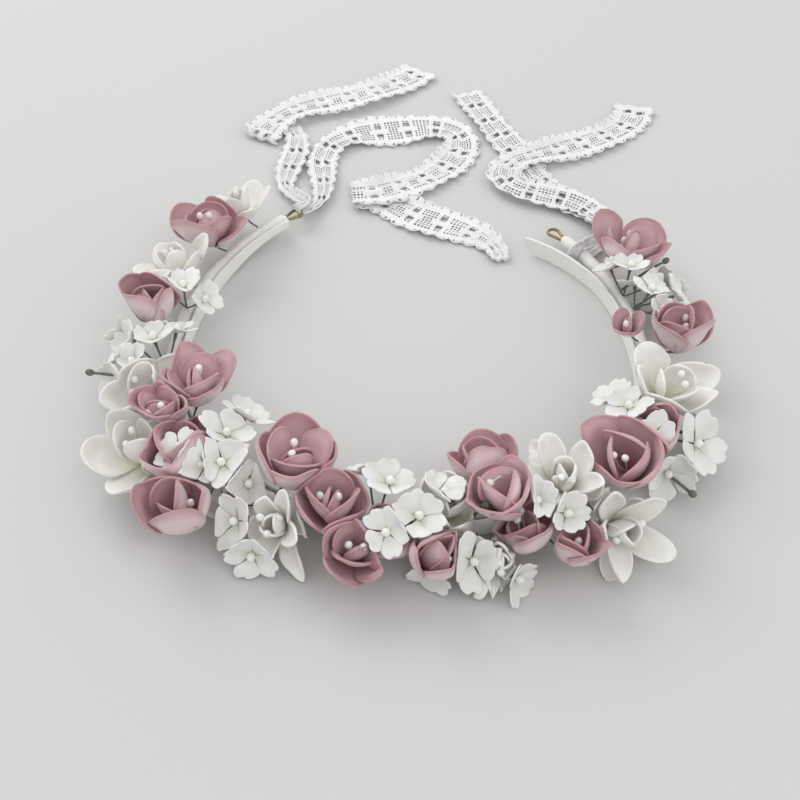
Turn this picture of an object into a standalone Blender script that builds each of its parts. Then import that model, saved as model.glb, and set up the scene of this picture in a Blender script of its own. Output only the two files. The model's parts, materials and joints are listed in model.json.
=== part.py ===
"""Flower crown: a wrapped wire band with two eyes, a lining strip, moulded blossoms and two lace ribbons.

The crown lies on a flat surface at Z = 0, with its open side towards +Y and its flowered front towards -Y.
Angles round the band are in degrees from the front centre, positive towards +X.
"""

import math

import bmesh
import bpy
from mathutils import Matrix, Vector

# Driving dimensions, in metres
BAND_HALF_WIDTH = 0.0825
BAND_FRONT_DEPTH = 0.076
BAND_REAR_DEPTH = 0.100
BAND_HEIGHT = 0.0052
GAP = 0.0003

# Where the band is divided and where it ends, in degrees; left and right are as seen from the front
FLEX_ANGLE = 85.0
FLEX_CLEARANCE = 0.45
LEFT_END = 140.0
RIGHT_END = 137.0

# The base wire, its bent-back legs and the eyes; laps and steps are in degrees
WIRE_RADIUS = 0.0006
WIRE_STEP = 4.0
LEG_OFFSET = 0.00085
LEG_LAP = 9.0
LEG_SHIFT_START = 1.7 * LEG_LAP
LEG_SHIFT_END = 1.15 * LEG_LAP
LEG_LEAD = 0.0012
EYE_RADIUS = 0.0022
EYE_REACH = 0.0052
EYE_OPENING = 110
EYE_STEP = 22

WRAP_BORE = 0.0019
WRAP_WALL = 0.0004
WRAP_STEP = 6.0

LINING_HEIGHT = 0.0075
LINING_THICKNESS = 0.0009
LINING_OFFSET = 0.0034
LINING_STEP = 6.0
TAIL_START = 113.0
TAIL_OFFSETS = [(119.0, 4.2), (125.0, 6.0), (130.0, 7.6), (135.0, 9.4), (140.0, 11.4), (142.5, 12.6)]

STEM_RADIUS = 0.0006
STEM_FLARE = 1.5
CUP_DEPTH = 0.35
BEAD_RADIUS = 0.0013
PETAL_WALL = 0.0008
LOBES = 5

# The lace strip's thickness in metres; its other sizes are in millimetres, as its routes are
LACE_THICKNESS = 0.0010
GATHERED_WIDTH = 1.8
LEAD_WIDTH = 1.3 * GATHERED_WIDTH
EYE_FOLD_RADIUS = 1.7
EYE_LEAD = 3.4
LEAD_DROP_OVER = 0.3
LEAD_DROP_UNDER = 0.4
ARM_FOLD_RADIUS = 3.3
ARM_FOLD_ANGLE = 130.0
FOLD_STEPS = 6

# Colours as red, green, blue, with roughness and metallic value
BRASS = (0.36, 0.29, 0.12, 0.35, 1.0)
TAPE = (0.80, 0.79, 0.76, 0.75, 0.0)
FELT = (0.84, 0.83, 0.80, 0.90, 0.0)
LACE = (0.82, 0.81, 0.79, 0.95, 0.0)
ROSE = (0.46, 0.22, 0.25, 0.45, 0.0)
IVORY = (0.84, 0.83, 0.79, 0.50, 0.0)
FLORET = (0.86, 0.86, 0.84, 0.80, 0.0)
STEM = (0.08, 0.10, 0.08, 0.60, 0.0)

# Blossoms: name, angle, distance outside the band, height, rim radius, turn about its own axis
ROSE_BLOOMS = [
    ("rose_bloom_left_rear", -121, 9.0, 12.0, 9.0, 10),
    ("rose_bloom_left_side", -94, 11.0, 12.0, 10.0, 40),
    ("rose_bloom_left_shoulder", -57, 2.0, 17.0, 9.0, 20),
    ("rose_bloom_left_low", -41, 20.0, 10.5, 9.5, 0),
    ("rose_bloom_left_front", -28, -4.0, 17.5, 9.0, 50),
    ("rose_bloom_front_left", -9, 9.5, 12.0, 9.0, 30),
    ("rose_bloom_front_low", 3.5, 16.0, 9.5, 7.5, 60),
    ("rose_bloom_front_right", 21, -1.5, 17.5, 9.5, 15),
    ("rose_bloom_right_low", 28.5, 16.0, 10.0, 8.5, 35),
    ("rose_bloom_right_shoulder", 54, 9.0, 14.5, 11.0, 5),
    ("rose_bloom_right_side", 95, 10.5, 12.5, 9.5, 25),
    ("rose_bud_right_inner", 98, -7.0, 15.0, 5.0, 45),
    ("rose_bloom_right_rear", 122, 11.0, 12.0, 9.0, 55),
]
IVORY_BLOOMS = [
    ("ivory_bloom_left_rear", -132, 9.0, 12.0, 6.0, 0),
    ("ivory_bloom_left_side", -107, 8.0, 13.0, 7.5, 30),
    ("ivory_bloom_left_shoulder", -68, 9.0, 15.0, 7.0, 15),
    ("ivory_bloom_left_low", -55.5, 19.0, 10.0, 7.5, 50),
    ("ivory_bloom_front_left", -19.5, 13.0, 10.0, 7.0, 25),
    ("ivory_bloom_front", 9.5, -2.5, 16.5, 6.5, 40),
    ("ivory_bloom_front_low", 16.5, 16.0, 8.5, 5.5, 5),
    ("ivory_bloom_right_front", 37.5, 3.0, 17.0, 8.5, 60),
    ("ivory_bloom_right_low", 42, 20.0, 9.0, 7.0, 35),
    ("ivory_bloom_right_side", 76, 8.0, 15.0, 8.0, 20),
]
FLORETS = [
    ("floret_left_side", -80, 17.0, 13.0, 6.5, 0),
    ("floret_left_side_upper", -79, 4.0, 18.0, 6.0, 30),
    ("floret_left_rear", -100, 0.0, 18.0, 5.5, 10),
    ("floret_left_shoulder", -46, -2.0, 20.0, 6.5, 40),
    ("floret_left_front", -41, 7.0, 19.5, 6.0, 15),
    ("floret_left_low", -27.5, 15.5, 10.0, 6.0, 55),
    ("floret_front_upper", -4.5, -5.0, 18.5, 6.0, 20),
    ("floret_front", 1, 3.5, 20.0, 6.0, 45),
    ("floret_front_low", 10.5, 20.0, 7.5, 5.5, 5),
    ("floret_right_front", 29, 5.5, 21.0, 5.0, 35),
    ("floret_right_shoulder", 66, -1.5, 19.0, 5.5, 25),
    ("floret_right_side", 69, 18.5, 11.0, 6.5, 60),
    ("floret_right_rear", 106, 5.0, 16.0, 6.0, 50),
    ("floret_right_rear_outer", 109, 15.0, 11.0, 6.5, 30),
    ("floret_right_rear_inner", 112, 2.0, 17.0, 5.5, 15),
]
BEAD_STEMS = [
    ("bead_stem_left_side", -74.5, 28.0, 12.0),
    ("bead_stem_left_low", -63, 26.0, 7.0),
    ("bead_stem_front", 14.5, 5.0, 23.0),
    ("bead_stem_right_low", 61, 28.0, 7.0),
    ("bead_stem_right_side", 86.5, 20.0, 12.0),
    ("bead_stem_right_rear", 115, 22.0, 14.0),
]

# Lace routes in millimetres: x, y, height of the middle of the strip, width
LEFT_LONG_TAIL = [
    (-5.0, 203.0, 0.6, 15.0),
    (-11.0, 194.0, 1.4, 16.0),
    (-20.0, 184.0, 2.3, 16.0),
    (-32.0, 175.0, 2.3, 15.5),
    (-46.0, 168.0, 2.3, 15.0),
    (-58.0, 161.0, 2.3, 14.5),
    (-67.0, 150.0, 2.3, 13.5),
    (-72.5, 138.0, 2.3, 13.0),
]
LEFT_RISER = [
    (-71.2, 140.8, 0.5, 10.0),
    (-69.0, 145.0, 0.5, 8.5),
    (-64.2, 147.6, 0.5, 8.0),
    (-59.2, 145.0, 0.5, 8.0),
    (-56.5, 138.5, 0.5, 8.5),
    (-56.0, 127.0, 0.5, 9.0),
    (-57.0, 113.0, 0.5, 8.0),
    (-56.5, 102.0, 1.2, 6.0),
    (-51.5, 93.0, 3.6, 3.8),
]
LEFT_LOOP = [
    (-42.3, 90.0, 1.6, 4.0),
    (-41.0, 99.0, 0.5, 7.5),
    (-42.5, 112.0, 0.5, 9.0),
    (-43.5, 126.0, 0.5, 10.0),
    (-39.0, 139.0, 0.5, 13.0),
    (-28.0, 147.0, 0.5, 18.0),
    (-13.0, 151.0, 0.5, 20.0),
    (2.0, 154.0, 0.5, 17.0),
    (12.5, 151.0, 0.5, 13.0),
    (16.0, 141.0, 0.5, 12.5),
    (11.0, 128.0, 0.5, 14.0),
    (2.0, 116.0, 0.8, 15.0),
    (-8.0, 106.5, 2.3, 15.0),
    (-18.0, 101.0, 2.3, 14.0),
    (-28.0, 99.0, 2.3, 14.0),
]
LEFT_SHORT_TAIL = [
    (-25.0, 99.6, 0.5, 14.0),
    (-15.0, 96.5, 0.5, 15.0),
    (-3.0, 89.0, 0.5, 17.0),
    (9.0, 84.5, 0.5, 17.0),
    (21.0, 79.0, 0.5, 14.0),
    (29.0, 71.0, 0.5, 8.0),
    (32.0, 62.5, 0.5, 6.0),
]
RIGHT_LONG_TAIL = [
    (94.0, 181.0, 0.5, 14.0),
    (91.0, 169.0, 0.5, 14.5),
    (83.0, 158.0, 0.5, 15.0),
    (71.0, 149.0, 0.8, 16.0),
    (57.0, 140.0, 1.9, 15.0),
    (44.0, 133.0, 1.9, 12.5),
    (35.5, 125.0, 1.9, 11.5),
    (34.0, 115.5, 1.9, 11.5),
    (41.0, 108.5, 1.9, 13.0),
    (53.0, 105.5, 1.9, 15.0),
    (64.0, 101.5, 1.9, 13.5),
    (71.5, 93.0, 1.9, 11.0),
    (74.0, 82.5, 3.4, 7.0),
    (70.5, 73.0, 6.9, 3.8),
]
RIGHT_SHORT_TAIL = [
    (70.5, 73.0, 0.9, 3.8),
    (74.0, 82.5, 0.5, 7.0),
    (71.0, 93.0, 0.5, 10.5),
    (62.5, 101.5, 0.5, 12.0),
    (53.5, 110.0, 0.5, 12.5),
    (47.0, 121.0, 0.5, 12.5),
    (42.0, 134.0, 0.5, 12.5),
    (35.0, 147.0, 0.5, 13.0),
    (27.5, 161.0, 0.5, 13.0),
    (22.0, 174.0, 0.5, 13.0),
    (17.0, 185.0, 0.5, 12.0),
]

MM = 0.001
UP = Vector((0.0, 0.0, 1.0))
SEGMENTS = 2 * LOBES


def band_point(angle, out=0.0, up=BAND_HEIGHT):
    """A point beside the band's centreline, out metres outside it and up metres above the floor."""
    turn = math.radians(angle)
    depth = BAND_FRONT_DEPTH if math.cos(turn) > 0 else BAND_REAR_DEPTH
    x = BAND_HALF_WIDTH * math.sin(turn)
    y = -depth * math.cos(turn)
    normal = Vector((x / BAND_HALF_WIDTH**2, y / depth**2, 0.0)).normalized()
    return Vector((x, y, up)) + normal * out


def band_axes(angle):
    """The direction along the band, towards the larger angle, and the direction out of it."""
    outward = (band_point(angle, 1.0) - band_point(angle)).normalized()
    return UP.cross(outward), outward


def angles(first, last, step):
    """Angles from first to last in equal parts of about step degrees."""
    parts = max(1, round(abs(last - first) / step))
    return [first + (last - first) * i / parts for i in range(parts + 1)]


def make_material(name, look):
    """A Principled material with the look's colour, roughness and metallic value."""
    material = bpy.data.materials.new(name)
    material.use_nodes = True
    shader = material.node_tree.nodes["Principled BSDF"]
    shader.inputs["Base Color"].default_value = (*look[:3], 1.0)
    shader.inputs["Roughness"].default_value = look[3]
    shader.inputs["Metallic"].default_value = look[4]
    return material


def add_object(name, data, look, parent):
    """Put a mesh or curve in the crown's collection with its own material and parent empty."""
    thing = bpy.data.objects.new(name, data)
    data.materials.append(make_material(name, look))
    CROWN.objects.link(thing)
    thing.parent = parent
    thing.matrix_parent_inverse = Matrix.Translation(-parent.location)
    return thing


def wire_curve(name, points, radius, capped):
    """A poly curve through the points, with a round section."""
    curve = bpy.data.curves.new(name, "CURVE")
    curve.dimensions = "3D"
    curve.bevel_depth = radius
    curve.bevel_resolution = 2
    curve.use_fill_caps = capped
    spline = curve.splines.new("POLY")
    spline.points.add(len(points) - 1)
    for place, point in zip(spline.points, points):
        place.co = (*point, 1.0)
    return curve


def loft(rings):
    """Skin a stack of rings of points, first to last, into one closed solid that faces out."""
    shape = bmesh.new()
    rows = [[shape.verts.new(point) for point in ring] for ring in rings]
    for low, high in zip(rows, rows[1:]):
        for i in range(len(low)):
            shape.faces.new((low[i - 1], low[i], high[i], high[i - 1]))
    shape.faces.new(reversed(rows[0]))
    shape.faces.new(rows[-1])
    if shape.calc_volume(signed=True) < 0.0:
        bmesh.ops.reverse_faces(shape, faces=shape.faces)
    return shape


def to_mesh(name, shape):
    """Finish a bmesh as a named mesh."""
    mesh = bpy.data.meshes.new(name)
    shape.to_mesh(mesh)
    shape.free()
    return mesh


def turned_ring(centre, axis, side, radius, lobe, turn):
    """A ring round an axis whose radius falls between the lobes."""
    other = axis.cross(side)
    ring = []
    for i in range(SEGMENTS):
        reach = radius * (1.0 if i % 2 == 0 else lobe)
        bearing = turn + 2.0 * math.pi * i / SEGMENTS
        ring.append(centre + side * (reach * math.cos(bearing)) + other * (reach * math.sin(bearing)))
    return ring


def flower(name, row, profile, look, parent):
    """A flower on a short stem from the wrap: profile gives height along the stem, radius and lobe depth."""
    angle, out, height, radius, turn = row
    root = band_point(angle)
    heart = band_point(angle, out * MM, height * MM)
    axis = (heart - root).normalized()
    side = axis.cross(band_axes(angle)[0]).normalized()
    stem_start = WRAP_BORE + WRAP_WALL + GAP
    heart_distance = (heart - root).length
    base = heart_distance - CUP_DEPTH * radius * MM
    stations = [(stem_start, STEM_RADIUS, 1.0), (base, STEM_FLARE * STEM_RADIUS, 1.0)]
    for height_share, radius_share, wall, lobe in profile:
        stations.append(
            (heart_distance + height_share * radius * MM, radius_share * radius * MM - wall, lobe)
        )
    rings = [
        turned_ring(root + axis * along, axis, side, reach, lobe, math.radians(turn))
        for along, reach, lobe in stations
    ]
    return add_object(name, to_mesh(name, loft(rings)), look, parent)


BLOOM_PROFILE = [
    (-0.05, 0.50, 0.0, 0.95),
    (0.35, 0.88, 0.0, 0.86),
    (0.80, 1.00, 0.0, 0.78),
    (0.80, 1.00, PETAL_WALL, 0.78),
    (0.38, 0.88, 1.3 * PETAL_WALL, 0.86),
    (0.12, 0.35, 0.0, 0.95),
]
FLORET_PROFILE = [
    (-0.05, 0.25, 0.0, 1.0),
    (0.22, 1.00, 0.0, 0.62),
    (0.34, 1.00, 0.0, 0.62),
    (0.14, 0.25, 0.0, 1.0),
]
# The bead's outline: distance back from the stem's tip and radius, in bead radii
BEAD_PROFILE = [(1.4, 1.0), (0.6, 1.0), (0.0, 0.5)]


def bead_stem(name, angle, out, height, parent):
    """A bare stem wire from the wrap with a small bead on its end."""
    root = band_point(angle)
    tip = band_point(angle, out * MM, height * MM)
    axis = (tip - root).normalized()
    side = axis.cross(band_axes(angle)[0]).normalized()
    reach = (tip - root).length
    stations = [
        (WRAP_BORE + WRAP_WALL + GAP, STEM_RADIUS),
        (reach - 2.0 * BEAD_RADIUS, STEM_RADIUS),
    ]
    stations += [(reach - back * BEAD_RADIUS, share * BEAD_RADIUS) for back, share in BEAD_PROFILE]
    rings = [turned_ring(root + axis * along, axis, side, radius, 1.0, 0.0) for along, radius in stations]
    add_object(name, to_mesh(name, loft(rings)), STEM, parent)


def eye_points(end):
    """The open loop of wire beyond the end of the wrap, from its outer leg round to its inner one."""
    along, outward = band_axes(end)
    if end < 0:
        along = -along
    centre = band_point(end) + along * EYE_REACH
    turns = [math.radians(turn) for turn in range(EYE_OPENING, -EYE_OPENING - 1, -EYE_STEP)]
    loop = [centre + along * (EYE_RADIUS * math.cos(t)) + outward * (EYE_RADIUS * math.sin(t)) for t in turns]
    start = band_point(end, LEG_OFFSET) + along * LEG_LEAD
    finish = band_point(end, -LEG_OFFSET) + along * LEG_LEAD
    return [start, *loop, finish]


def arm_wire(side, end):
    """The wire of one arm: out from the flex point, round the eye and back into the wrap."""
    first = side * (FLEX_ANGLE + FLEX_CLEARANCE)
    shift_start = side * (end - LEG_SHIFT_START)
    shift_end = side * (end - LEG_SHIFT_END)
    points = [band_point(a) for a in angles(first, shift_start, WIRE_STEP)]
    points += [band_point(a, LEG_OFFSET) for a in angles(shift_end, side * end, 2.0 * WIRE_STEP)]
    points += eye_points(side * end)
    points += [band_point(a, -LEG_OFFSET) for a in angles(side * end, side * (end - LEG_LAP), WIRE_STEP)]
    return points


def wrap(name, first, last, parent):
    """The tape sleeve over a stretch of the wire, open at both ends."""
    points = [band_point(a) for a in angles(first, last, WRAP_STEP)]
    sleeve = add_object(name, wire_curve(name, points, WRAP_BORE, False), TAPE, parent)
    wall = sleeve.modifiers.new("wall", "SOLIDIFY")
    wall.thickness = WRAP_WALL
    wall.offset = 1.0
    return sleeve


def lining(name, points, parent):
    """The lining strip standing on its lower edge along the points."""
    rings = []
    for i, point in enumerate(points):
        before = points[max(i - 1, 0)]
        after = points[min(i + 1, len(points) - 1)]
        across = UP.cross((after - before).normalized()) * (0.5 * LINING_THICKNESS)
        top = UP * LINING_HEIGHT
        rings.append([point - across, point + across, point + across + top, point - across + top])
    return add_object(name, to_mesh(name, loft(rings)), FELT, parent)


def curved(points, parts):
    """Points on a smooth curve through the given ones, parts to a span."""
    rows = [Vector(point) for point in points]
    rows = [2.0 * rows[0] - rows[1], *rows, 2.0 * rows[-1] - rows[-2]]
    result = []
    for before, start, finish, after in zip(rows, rows[1:], rows[2:], rows[3:]):
        for i in range(parts):
            t = i / parts
            result.append(
                0.5
                * (
                    2.0 * start
                    + (finish - before) * t
                    + (2.0 * before - 5.0 * start + 4.0 * finish - after) * t**2
                    + (3.0 * start - before - 3.0 * finish + after) * t**3
                )
            )
    result.append(rows[-2])
    return result


def stretch(route, side):
    """Places, widths and sideways directions along a flat run of lace; side is 1 or -1."""
    rows = curved(route, 2)
    places = [Vector(row[:3]) for row in rows]
    result = []
    for i, place in enumerate(places):
        heading = places[min(i + 1, len(places) - 1)] - places[max(i - 1, 0)]
        heading.z = 0.0
        result.append((place, rows[i][3], UP.cross(heading).normalized() * side))
    return result


def fold(centre, forward, radius, width, across, downwards=True):
    """The half turn of a strip that goes back over or under itself."""
    sense = 1.0 if downwards else -1.0
    result = []
    for i in range(FOLD_STEPS + 1):
        turn = math.pi * i / FOLD_STEPS
        place = centre + forward * (radius * math.sin(turn)) + UP * (sense * radius * math.cos(turn))
        result.append((place, width, across))
    return result


def strip(name, stations, parent):
    """One lace strip with a rectangular section, swept through its stations."""
    rings = []
    for i, (place, width, across) in enumerate(stations):
        ahead = stations[min(i + 1, len(stations) - 1)][0]
        behind = stations[max(i - 1, 0)][0]
        normal = (ahead - behind).normalized().cross(across).normalized()
        half = across * (0.5 * width)
        rise = normal * (0.5 * LACE_THICKNESS / MM)
        corners = [place - half - rise, place + half - rise, place + half + rise, place - half + rise]
        rings.append([corner * MM for corner in corners])
    return add_object(name, to_mesh(name, loft(rings)), LACE, parent)


def fold_between(before, after):
    """The fold that takes the end of one run of lace up or down to the level of the next."""
    end, width, across = before[-1]
    start = after[0][0]
    centre = Vector((end.x, end.y, (end.z + start.z) / 2))
    forward = (end - before[-2][0]).normalized()
    forward.z = 0.0
    return fold(centre, forward.normalized(), abs(end.z - start.z) / 2, width, across, end.z > start.z)


def eye_tip():
    """The far side of the left eye, which the left ribbon is folded over."""
    return band_point(-LEFT_END) - band_axes(-LEFT_END)[0] * (EYE_REACH + EYE_RADIUS)


def left_lace(parent):
    """The left ribbon: a long tail, a fold through the eye, a loop and a short tail."""
    heading = band_axes(-LEFT_END)[0]
    tip = eye_tip() / MM
    near = tip - heading * EYE_LEAD
    over = (near.x, near.y, tip.z + EYE_FOLD_RADIUS - LEAD_DROP_OVER, LEAD_WIDTH)
    under = (near.x, near.y, tip.z - EYE_FOLD_RADIUS - LEAD_DROP_UNDER, LEAD_WIDTH)
    long_tail = stretch(LEFT_LONG_TAIL, 1)
    riser = stretch([*LEFT_RISER, over], -1)
    loop = stretch([under, *LEFT_LOOP], 1)
    short_tail = stretch(LEFT_SHORT_TAIL, -1)
    across = -UP.cross(heading).normalized()
    stations = [
        *long_tail[:-1],
        *fold_between(long_tail, riser),
        *riser,
        *fold(tip, heading, EYE_FOLD_RADIUS, GATHERED_WIDTH, across),
        *loop[:-1],
        *fold_between(loop, short_tail),
        *short_tail,
    ]
    return strip("lace_ribbon_left", stations, parent)


def right_lace(parent):
    """The right ribbon: a long tail and a short tail from a fold round the wrapped arm."""
    inward = -band_axes(ARM_FOLD_ANGLE)[1]
    centre = band_point(ARM_FOLD_ANGLE) / MM
    long_tail = stretch(RIGHT_LONG_TAIL, 1)
    short_tail = stretch(RIGHT_SHORT_TAIL, -1)
    across = UP.cross(inward).normalized()
    stations = [
        *long_tail,
        *fold(centre, inward, ARM_FOLD_RADIUS, GATHERED_WIDTH, across),
        *short_tail,
    ]
    return strip("lace_ribbon_right", stations, parent)


def lining_points(first, last, step=LINING_STEP):
    """Points on the floor under the lining, between two angles of the band."""
    return [band_point(a, -LINING_OFFSET, 0.0) for a in angles(first, last, step)]


def right_lining_points():
    """The right lining leaves the wrap near its end and goes on as a free tail."""
    points = lining_points(FLEX_ANGLE + FLEX_CLEARANCE, TAIL_START)
    points += [band_point(a, -out * MM, 0.0) for a, out in TAIL_OFFSETS]
    return points


def body_of(angle, bodies):
    """The empty that a piece at this angle belongs to."""
    if angle < -FLEX_ANGLE:
        return bodies["left_arm"]
    if angle > FLEX_ANGLE:
        return bodies["right_arm"]
    return bodies["front_band"]


def add_empty(name, place, parent=None):
    """An empty on a body's joint axis, at the given place in the crown."""
    empty = bpy.data.objects.new(name, None)
    empty.location = place
    CROWN.objects.link(empty)
    if parent:
        empty.parent = parent
        empty.matrix_parent_inverse = Matrix.Translation(-parent.location)
    return empty


def build():
    """Model every piece of the crown."""
    front = add_empty("front_band", (0.0, 0.0, 0.0))
    left_arm = add_empty("left_arm", band_point(-FLEX_ANGLE), front)
    right_arm = add_empty("right_arm", band_point(FLEX_ANGLE), front)
    left_ribbon = add_empty("left_ribbon", eye_tip(), left_arm)
    right_ribbon = add_empty("right_ribbon", band_point(ARM_FOLD_ANGLE), right_arm)
    bodies = {"front_band": front, "left_arm": left_arm, "right_arm": right_arm}
    inner_end = FLEX_ANGLE - FLEX_CLEARANCE
    outer_end = FLEX_ANGLE + FLEX_CLEARANCE

    front_points = [band_point(a) for a in angles(-inner_end, inner_end, WIRE_STEP)]
    add_object("wire_front", wire_curve("wire_front", front_points, WIRE_RADIUS, True), BRASS, front)
    for name, side, end, parent in (
        ("wire_left_with_eye", -1, LEFT_END, left_arm),
        ("wire_right_with_eye", 1, RIGHT_END, right_arm),
    ):
        add_object(name, wire_curve(name, arm_wire(side, end), WIRE_RADIUS, True), BRASS, parent)

    wrap("tape_wrap_front", -inner_end, inner_end, front)
    wrap("tape_wrap_left", -outer_end, -LEFT_END, left_arm)
    wrap("tape_wrap_right", outer_end, RIGHT_END, right_arm)

    lining("lining_front", lining_points(-inner_end, inner_end), front)
    lining("lining_left", lining_points(-outer_end, -LEFT_END), left_arm)
    lining("lining_right", right_lining_points(), right_arm)

    for name, *row in ROSE_BLOOMS:
        flower(name, row, BLOOM_PROFILE, ROSE, body_of(row[0], bodies))
    for name, *row in IVORY_BLOOMS:
        flower(name, row, BLOOM_PROFILE, IVORY, body_of(row[0], bodies))
    for name, *row in FLORETS:
        flower(name, row, FLORET_PROFILE, FLORET, body_of(row[0], bodies))
    for name, *row in BEAD_STEMS:
        bead_stem(name, *row, body_of(row[0], bodies))

    left_lace(left_ribbon)
    right_lace(right_ribbon)
    return front


def centre_on_origin(front):
    """Move the crown by its root empty, so that the middle of its underside is at the origin."""
    bpy.context.view_layer.update()
    graph = bpy.context.evaluated_depsgraph_get()
    corners = []
    for thing in CROWN.objects:
        if thing.type != "EMPTY":
            solid = thing.evaluated_get(graph)
            mesh = solid.to_mesh()
            corners += [solid.matrix_world @ vertex.co for vertex in mesh.vertices]
            solid.to_mesh_clear()
    low = Vector([min(corner[i] for corner in corners) for i in range(3)])
    high = Vector([max(corner[i] for corner in corners) for i in range(3)])
    shift = Vector((-(low.x + high.x) / 2, -(low.y + high.y) / 2, -low.z))
    front.location += shift
    return low, high, shift


for leftover in list(bpy.data.objects):
    bpy.data.objects.remove(leftover)
CROWN = bpy.data.collections.new("flower_crown")
bpy.context.scene.collection.children.link(CROWN)
low, high, shift = centre_on_origin(build())
print("size in millimetres", [round((b - a) / MM, 2) for a, b in zip(low, high)])
print("shift in millimetres", [round(value / MM, 3) for value in shift])
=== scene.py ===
"""Looks of a flower crown: its blossoms, wrapped band, wire eyes, lining and lace, built round its frame.

Sizes are in metres unless a name says otherwise. Angles round the band are in degrees from the front centre,
positive towards +X. Left and right are as seen from the front.
"""

import json
import logging
import math
import random
from collections.abc import Callable, Sequence
from dataclasses import dataclass, field
from enum import Enum

import bmesh
import bpy
import numpy as np
from mathutils import Matrix, Vector

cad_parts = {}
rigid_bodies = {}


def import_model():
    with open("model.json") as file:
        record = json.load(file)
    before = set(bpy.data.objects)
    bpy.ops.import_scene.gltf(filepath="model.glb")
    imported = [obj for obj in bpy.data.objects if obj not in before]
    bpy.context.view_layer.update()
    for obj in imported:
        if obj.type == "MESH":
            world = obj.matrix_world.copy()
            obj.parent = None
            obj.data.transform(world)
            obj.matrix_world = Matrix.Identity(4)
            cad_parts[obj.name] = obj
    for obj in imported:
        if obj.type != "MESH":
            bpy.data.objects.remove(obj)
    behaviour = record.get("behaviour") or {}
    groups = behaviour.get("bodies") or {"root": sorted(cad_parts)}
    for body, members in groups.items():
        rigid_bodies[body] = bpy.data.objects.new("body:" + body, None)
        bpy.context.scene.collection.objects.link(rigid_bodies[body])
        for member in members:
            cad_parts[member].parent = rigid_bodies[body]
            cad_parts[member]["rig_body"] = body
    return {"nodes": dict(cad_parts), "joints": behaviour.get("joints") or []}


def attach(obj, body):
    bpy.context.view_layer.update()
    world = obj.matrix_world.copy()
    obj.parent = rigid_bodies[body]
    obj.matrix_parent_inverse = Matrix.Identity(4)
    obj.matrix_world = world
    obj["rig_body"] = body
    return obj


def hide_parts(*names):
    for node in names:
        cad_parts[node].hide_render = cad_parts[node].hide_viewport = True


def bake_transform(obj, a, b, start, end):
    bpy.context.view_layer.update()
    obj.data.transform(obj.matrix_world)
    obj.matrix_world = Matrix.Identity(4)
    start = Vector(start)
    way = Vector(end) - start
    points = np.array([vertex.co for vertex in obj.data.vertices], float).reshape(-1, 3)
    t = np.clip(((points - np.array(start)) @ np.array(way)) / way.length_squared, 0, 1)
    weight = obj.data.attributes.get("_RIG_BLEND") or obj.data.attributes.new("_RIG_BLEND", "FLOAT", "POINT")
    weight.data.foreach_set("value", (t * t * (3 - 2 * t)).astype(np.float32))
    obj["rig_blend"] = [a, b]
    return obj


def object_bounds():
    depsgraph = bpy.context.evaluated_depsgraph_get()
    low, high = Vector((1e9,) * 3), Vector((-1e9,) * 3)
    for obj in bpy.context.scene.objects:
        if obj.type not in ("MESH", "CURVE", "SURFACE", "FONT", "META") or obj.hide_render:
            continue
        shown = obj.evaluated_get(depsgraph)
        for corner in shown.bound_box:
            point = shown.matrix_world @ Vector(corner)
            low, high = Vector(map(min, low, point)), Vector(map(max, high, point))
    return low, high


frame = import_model()
CAD_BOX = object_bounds()

LOG = logging.getLogger("flower_crown")
UP = Vector((0.0, 0.0, 1.0))
MM = 0.001
FLOOR_CLEARANCE = 0.0003
STEM_START = 0.0024


class Finish(Enum):
    """The crown's finishes, by the material slot that each one takes."""

    ROSE = "rose_petal"
    IVORY = "ivory_petal"
    FLORET = "floret_petal"
    STAMEN = "stamen"
    STEM = "stem_wire"
    TAPE = "wrap_tape"
    LINING = "lining_felt"
    LACE = "lace"
    BRASS = "brass_wire"


class Side(Enum):
    """A side of the crown, as a sign along +X."""

    LEFT = -1
    RIGHT = 1


# ---------------------------------------------------------------- materials


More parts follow.
